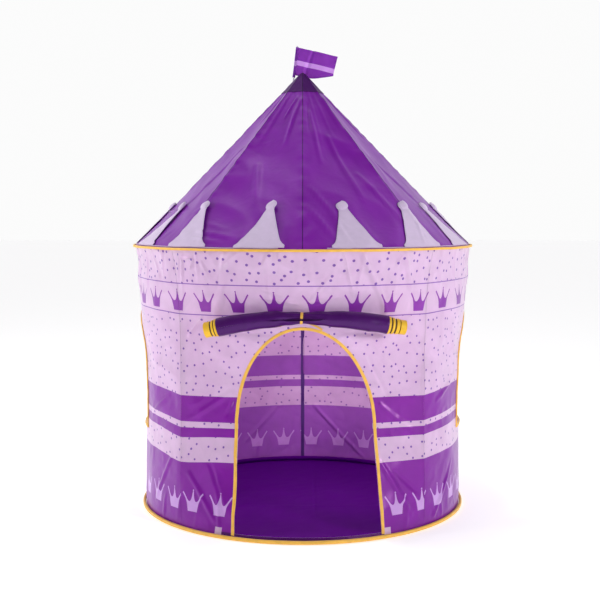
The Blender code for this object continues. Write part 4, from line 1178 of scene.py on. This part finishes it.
def castlePrint(tree, uv, across, up, inks):  # the wall's printed layers, from the bottom one to the top one
    layers = [(bandMask(tree, up, [edge * mm for edge in printed["bands"]], first=1), inks["purple"])]
    half = printed["lineWidth"] / 2
    lineEdges = [edge * mm for line in printed["lines"] for edge in (line - half, line + half)]
    layers.append((bandMask(tree, up, lineEdges), inks["line"]))
    cells = addNode(tree, "VectorMath", {0: uv, "Scale": 1 / printed["dotSpacing"]}, operation="SCALE")
    distance = addNode(tree, "TexVoronoi", {"Vector": cells, "Scale": 1.0, "Randomness": 0.78},
                       voronoi_dimensions="2D")
    isUpper = addNode(tree, "Math", {0: up, 1: printed["lines"][1] * mm}, operation="GREATER_THAN")
    radius = addNode(tree, "MapRange", {"Value": isUpper, 3: printed["dotRadius"] / printed["dotSpacing"],
                                        4: printed["upperDotRadius"] / printed["dotSpacing"]})
    dot = addNode(tree, "Math", {0: distance, 1: radius}, operation="LESS_THAN")
    dotted = bandMask(tree, up, [edge * mm for edge in printed["dotted"]])
    layers.append((addNode(tree, "Math", {0: dot, 1: dotted}, operation="MULTIPLY"), inks["dot"]))
    layers += [(crownRow(tree, across, up, printed[row]), inks[row]) for row in ("upperCrown", "lowerCrown")]
    near, far, top = printed["patch"]
    aside = addNode(tree, "Math", {0: across}, operation="ABSOLUTE")
    beside = addNode(tree, "Math", {0: aside, 1: (near + far) / 2, 2: (far - near) / 2}, operation="COMPARE")
    atDoor = addNode(tree, "Math", {0: aside, 1: near}, operation="LESS_THAN")
    for where, height, ink in ((beside, top, "lilac"), (atDoor, printed["sill"], "sill")):
        low = addNode(tree, "Math", {0: up, 1: height}, operation="LESS_THAN")
        layers.append((addNode(tree, "Math", {0: where, 1: low}, operation="MULTIPLY"), inks[ink]))
    return layers


def stitches(tree, uv, across, up, code, near, far):  # a row of dark stitches beside a seam
    inside = addNode(tree, "Math", {0: across, 1: near}, operation="GREATER_THAN")
    outside = addNode(tree, "Math", {0: across, 1: far}, operation="LESS_THAN")
    return [(addNode(tree, "Math", {0: inside, 1: outside}, operation="MULTIPLY"), code)]


def stripe(tree, uv, across, up, code, edges):
    return [(bandMask(tree, up, edges), code)]


def cloth(name, code, *layer, thread=2.2 * mm, crinkle=2.4 * mm, size=60 * mm, toneAndSheen=0.06, **constants):
    # woven polyester: layer is a printing function and what it is given
    material, tree, shader = newMaterial(name, **constants)
    uv, across, up = clothPlace(tree)
    noise = wovenBump(tree, shader, uv, thread, crinkle, size)
    layers = layer[0](tree, uv, across, up, *layer[1:]) if layer else ()
    dyeWithCrestSheen(tree, shader, noise, toneAndSheen, code, layers)
    return material


def bindingTape(name, code, gapShadeCode=None, grooves=()):
    # folded polyester tape, ribbed along its length, with painted shade in the gaps between wound layers
    material, tree, shader = newMaterial(name, roughness=0.55, sheen_weight=0.1)
    uv, along = clothPlace(tree)[:2]
    rib = addNode(tree, "TexWave", {"Vector": uv, "Scale": waveStep / (1.6 * mm)}, output=1,
                  wave_type="BANDS", bands_direction="X")
    place = addNode(tree, "TexCoord", {}, output=3)
    noise = addNode(tree, "TexNoise", {"Vector": place, "Scale": 60, "Detail": 4})
    bump = addNode(tree, "Bump", {"Height": rib, "Strength": 0.3, "Distance": 0.25 * mm})
    bump = addNode(tree, "Bump", {"Height": noise, "Strength": 0.4, "Distance": 0.6 * mm, "Normal": bump})
    tree.links.new(bump, shader.inputs["Normal"])
    # painted shade: a dark band in each groove between the wound layers
    gapShades = [addNode(tree, "Math", {0: along, 1: at * mm, 2: wide / 2 * mm}, operation="COMPARE")
            for at, wide in grooves]
    dyeWithCrestSheen(tree, shader, noise, 0.08, code, [(gapShade, gapShadeCode) for gapShade in gapShades])
    return material


def moulded(name, code, grain, **constants):  # plastic or paper with a fine even grain
    material, tree, shader = newMaterial(name, **constants)
    place = addNode(tree, "TexCoord", {}, output=3)
    noise = addNode(tree, "TexNoise", {"Vector": place, "Scale": 1 / grain, "Detail": 3})
    bump = addNode(tree, "Bump", {"Height": noise, "Strength": 0.3, "Distance": 0.1 * mm})
    tree.links.new(bump, shader.inputs["Normal"])
    dyeWithCrestSheen(tree, shader, noise, 0.03, code)
    return material


dyes = {
    "outside": {"lilac": "#d0b3d2", "purple": "#7a1496", "line": "#8258aa", "dot": "#7452a2",
                "upperCrown": "#812f9e", "lowerCrown": "#c39cdd", "sill": "#4c0868"},
    "inside": {"lilac": "#cda9cb", "purple": "#9049a6", "line": "#a47cb4", "dot": "#8d68a4",
               "upperCrown": "#946ab0", "lowerCrown": "#b78ac6", "sill": "#4c0868"},
    "roof": "#7e1ca2", "roofInside": "#7a35a0", "roofStitchAndShade": "#360452",
    "cap": "#471360", "capStitch": "#250538",
    # the roof's seam line colour is partly stitching and partly painted shade
    "trim": "#d7c2e4", "trimStitch": "#c3aed6",
    # the cap's deep purple is painted shade of the doubled cloth at the peak
    "roll": "#42065c", "floor": "#60008a", "seamTape": "#55257c",
    # the roll's near black is partly its purple and partly painted shade of the wound layers
    "flag": "#6a2494", "flagStripe": "#b78ad8",
    "yellow": "#efb94a", "rollYellow": "#efbc20", "rollGapShade": "#4a2c10",
    "glassFibre": "#e6e6ea", "nylon": "#9a97a0", "paper": "#f6f5f7",
}


def makeMaterials():
    outside, inside = dyes["outside"], dyes["inside"]
    # thin taffeta lets light through it, and its satin gloss takes the dye's tint
    thin = {"subsurface_weight": 0.75, "subsurface_scale": 4 * mm, "subsurface_radius": (1, 0.8, 1)}
    purpleSatin = {"roughness": 0.36, "specular_ior_level": 0.45, "specular_tint": (0.72, 0.25, 0.95, 1),
                   **thin}
    lilacSatin = {"roughness": 0.29, "specular_ior_level": 0.6, "specular_tint": (0.95, 0.50, 0.95, 1),
                  **thin}
    made = {
        # printed taffeta: soft glints along the folds, and a paler, duller print on its back
        "printOutside": cloth("printedTaffeta", outside["lilac"], castlePrint, outside, toneAndSheen=0.07,
                              **lilacSatin),
        "printInside": cloth("printedTaffetaReverse", inside["lilac"], castlePrint, inside, toneAndSheen=0.07,
                             **{**lilacSatin, "roughness": 0.5}),
        # dyed taffeta: deep purple with satin glints, and a dark line along each seam, partly stitches and
        # partly painted shade of the step at the seam
        "roofCloth": cloth("purpleTaffeta", dyes["roof"], stitches, dyes["roofStitchAndShade"], -1, 1.3 * mm,
                           **purpleSatin),
        "roofInside": cloth("purpleTaffetaReverse", dyes["roofInside"], **{**purpleSatin, "roughness": 0.5}),
        # cap at the peak, darker and duller: its deep colour is painted shade, standing for the doubled cloth
        # there that lets no light through
        "capCloth": cloth("capPaintedShadeTaffeta", dyes["cap"], stitches, dyes["capStitch"], -1, 1.1 * mm, roughness=0.5,
                          specular_ior_level=0.2, specular_tint=(0.70, 0.20, 0.95, 1)),
        # short nap: an even pale face with a faint sheen and a stitched edge
        "paleTrim": cloth("paleNapTrim", dyes["trim"], stitches, dyes["trimStitch"], 2.4 * mm, 3.2 * mm,
                          thread=1.6 * mm, crinkle=0.8 * mm, size=22 * mm, toneAndSheen=0.04,
                          roughness=0.55, sheen_weight=0.15),
        # many layers rolled up, with small sharp creases: nearly black purple, partly the cloth's own purple
        # and partly painted shade of the wound layers
        "rollCloth": cloth("rolledTaffetaWithShade", dyes["roll"], crinkle=1.6 * mm, size=26 * mm, toneAndSheen=0.12,
                           roughness=0.36, specular_tint=(0.80, 0.55, 1, 1)),
        # coated polyester: flat and dull, with wide soft creases
        "floorCloth": cloth("coatedFloorCloth", dyes["floor"], crinkle=1.5 * mm, size=70 * mm, roughness=0.6,
                            specular_ior_level=0.12, specular_tint=(0.80, 0.1, 1, 1)),
        # woven tape: plain, dull and finely puckered
        "seamTape": cloth("seamTapeCloth", dyes["seamTape"], crinkle=0.6 * mm, size=15 * mm, roughness=0.55),
        # dyed taffeta with one woven stripe
        "flagCloth": cloth("flagTaffeta", dyes["flag"], stripe, dyes["flagStripe"], (40 * mm, 55 * mm),
                           thread=2.0 * mm, crinkle=1.0 * mm, size=25 * mm, **purpleSatin),
        # folded tape: warm yellow ribs without gloss
        "yellowTape": bindingTape("foldedYellowTape", dyes["yellow"]),
        # pultruded rod: pale and smooth; moulded nylon: grey and slightly grained
        "pole": moulded("pultrudedGlassFibre", dyes["glassFibre"], 1.2 * mm, roughness=0.35),
        "fitting": moulded("mouldedNylon", dyes["nylon"], 0.8 * mm, roughness=0.5),
        # paper sweep: matt white, lit so that no horizon shows
        "studio": moulded("studioPaper", dyes["paper"], 3 * mm, roughness=0.9, emission_color=(1, 1, 1, 1),
                          emission_strength=shot["floorGlow"]),
    }
    for side, grooves in roll["grooves"].items():
        name = side.title()
        made["rollEnd" + name] = bindingTape("woundYellowTape" + name, dyes["rollYellow"],
                                             dyes["rollGapShade"], grooves)
    return made


def dressFrame(finishes):  # the rods, connectors and post stay as they are, in better materials
    kept = {"pole": ("wall_pole", "roof_pole", "base_hoop", "eave_hoop", "flag_post"),
            "fitting": ("base_connector", "eave_connector", "apex_hub")}
    for finish, starts in kept.items():
        for name, node in nodes.items():
            if name.startswith(starts):
                node.data.materials.clear()
                node.data.materials.append(finishes[finish])
    print("frame dressed")


def makeTent():
    floor = setUpShot()
    finishes = makeMaterials()
    print("materials mixed")
    floor.data.materials.append(finishes["studio"])
    makeWalls(finishes)
    makeBindings(finishes)
    makeRoof(finishes)
    makeCap(finishes)
    makeCrownTrim("crownTrimRight", 1, finishes["paleTrim"])
    makeCrownTrim("crownTrimLeft", -1, finishes["paleTrim"])
    print("crown trim hung")
    makeRoll(finishes)
    makeFloor(finishes)
    makeSleeves(finishes["printInside"])
    makeSeamTape(finishes["seamTape"])
    makeHems(finishes["floorCloth"])
    print("inside fitted")
    makeFlag(finishes)
    dressFrame(finishes)


makeTent()
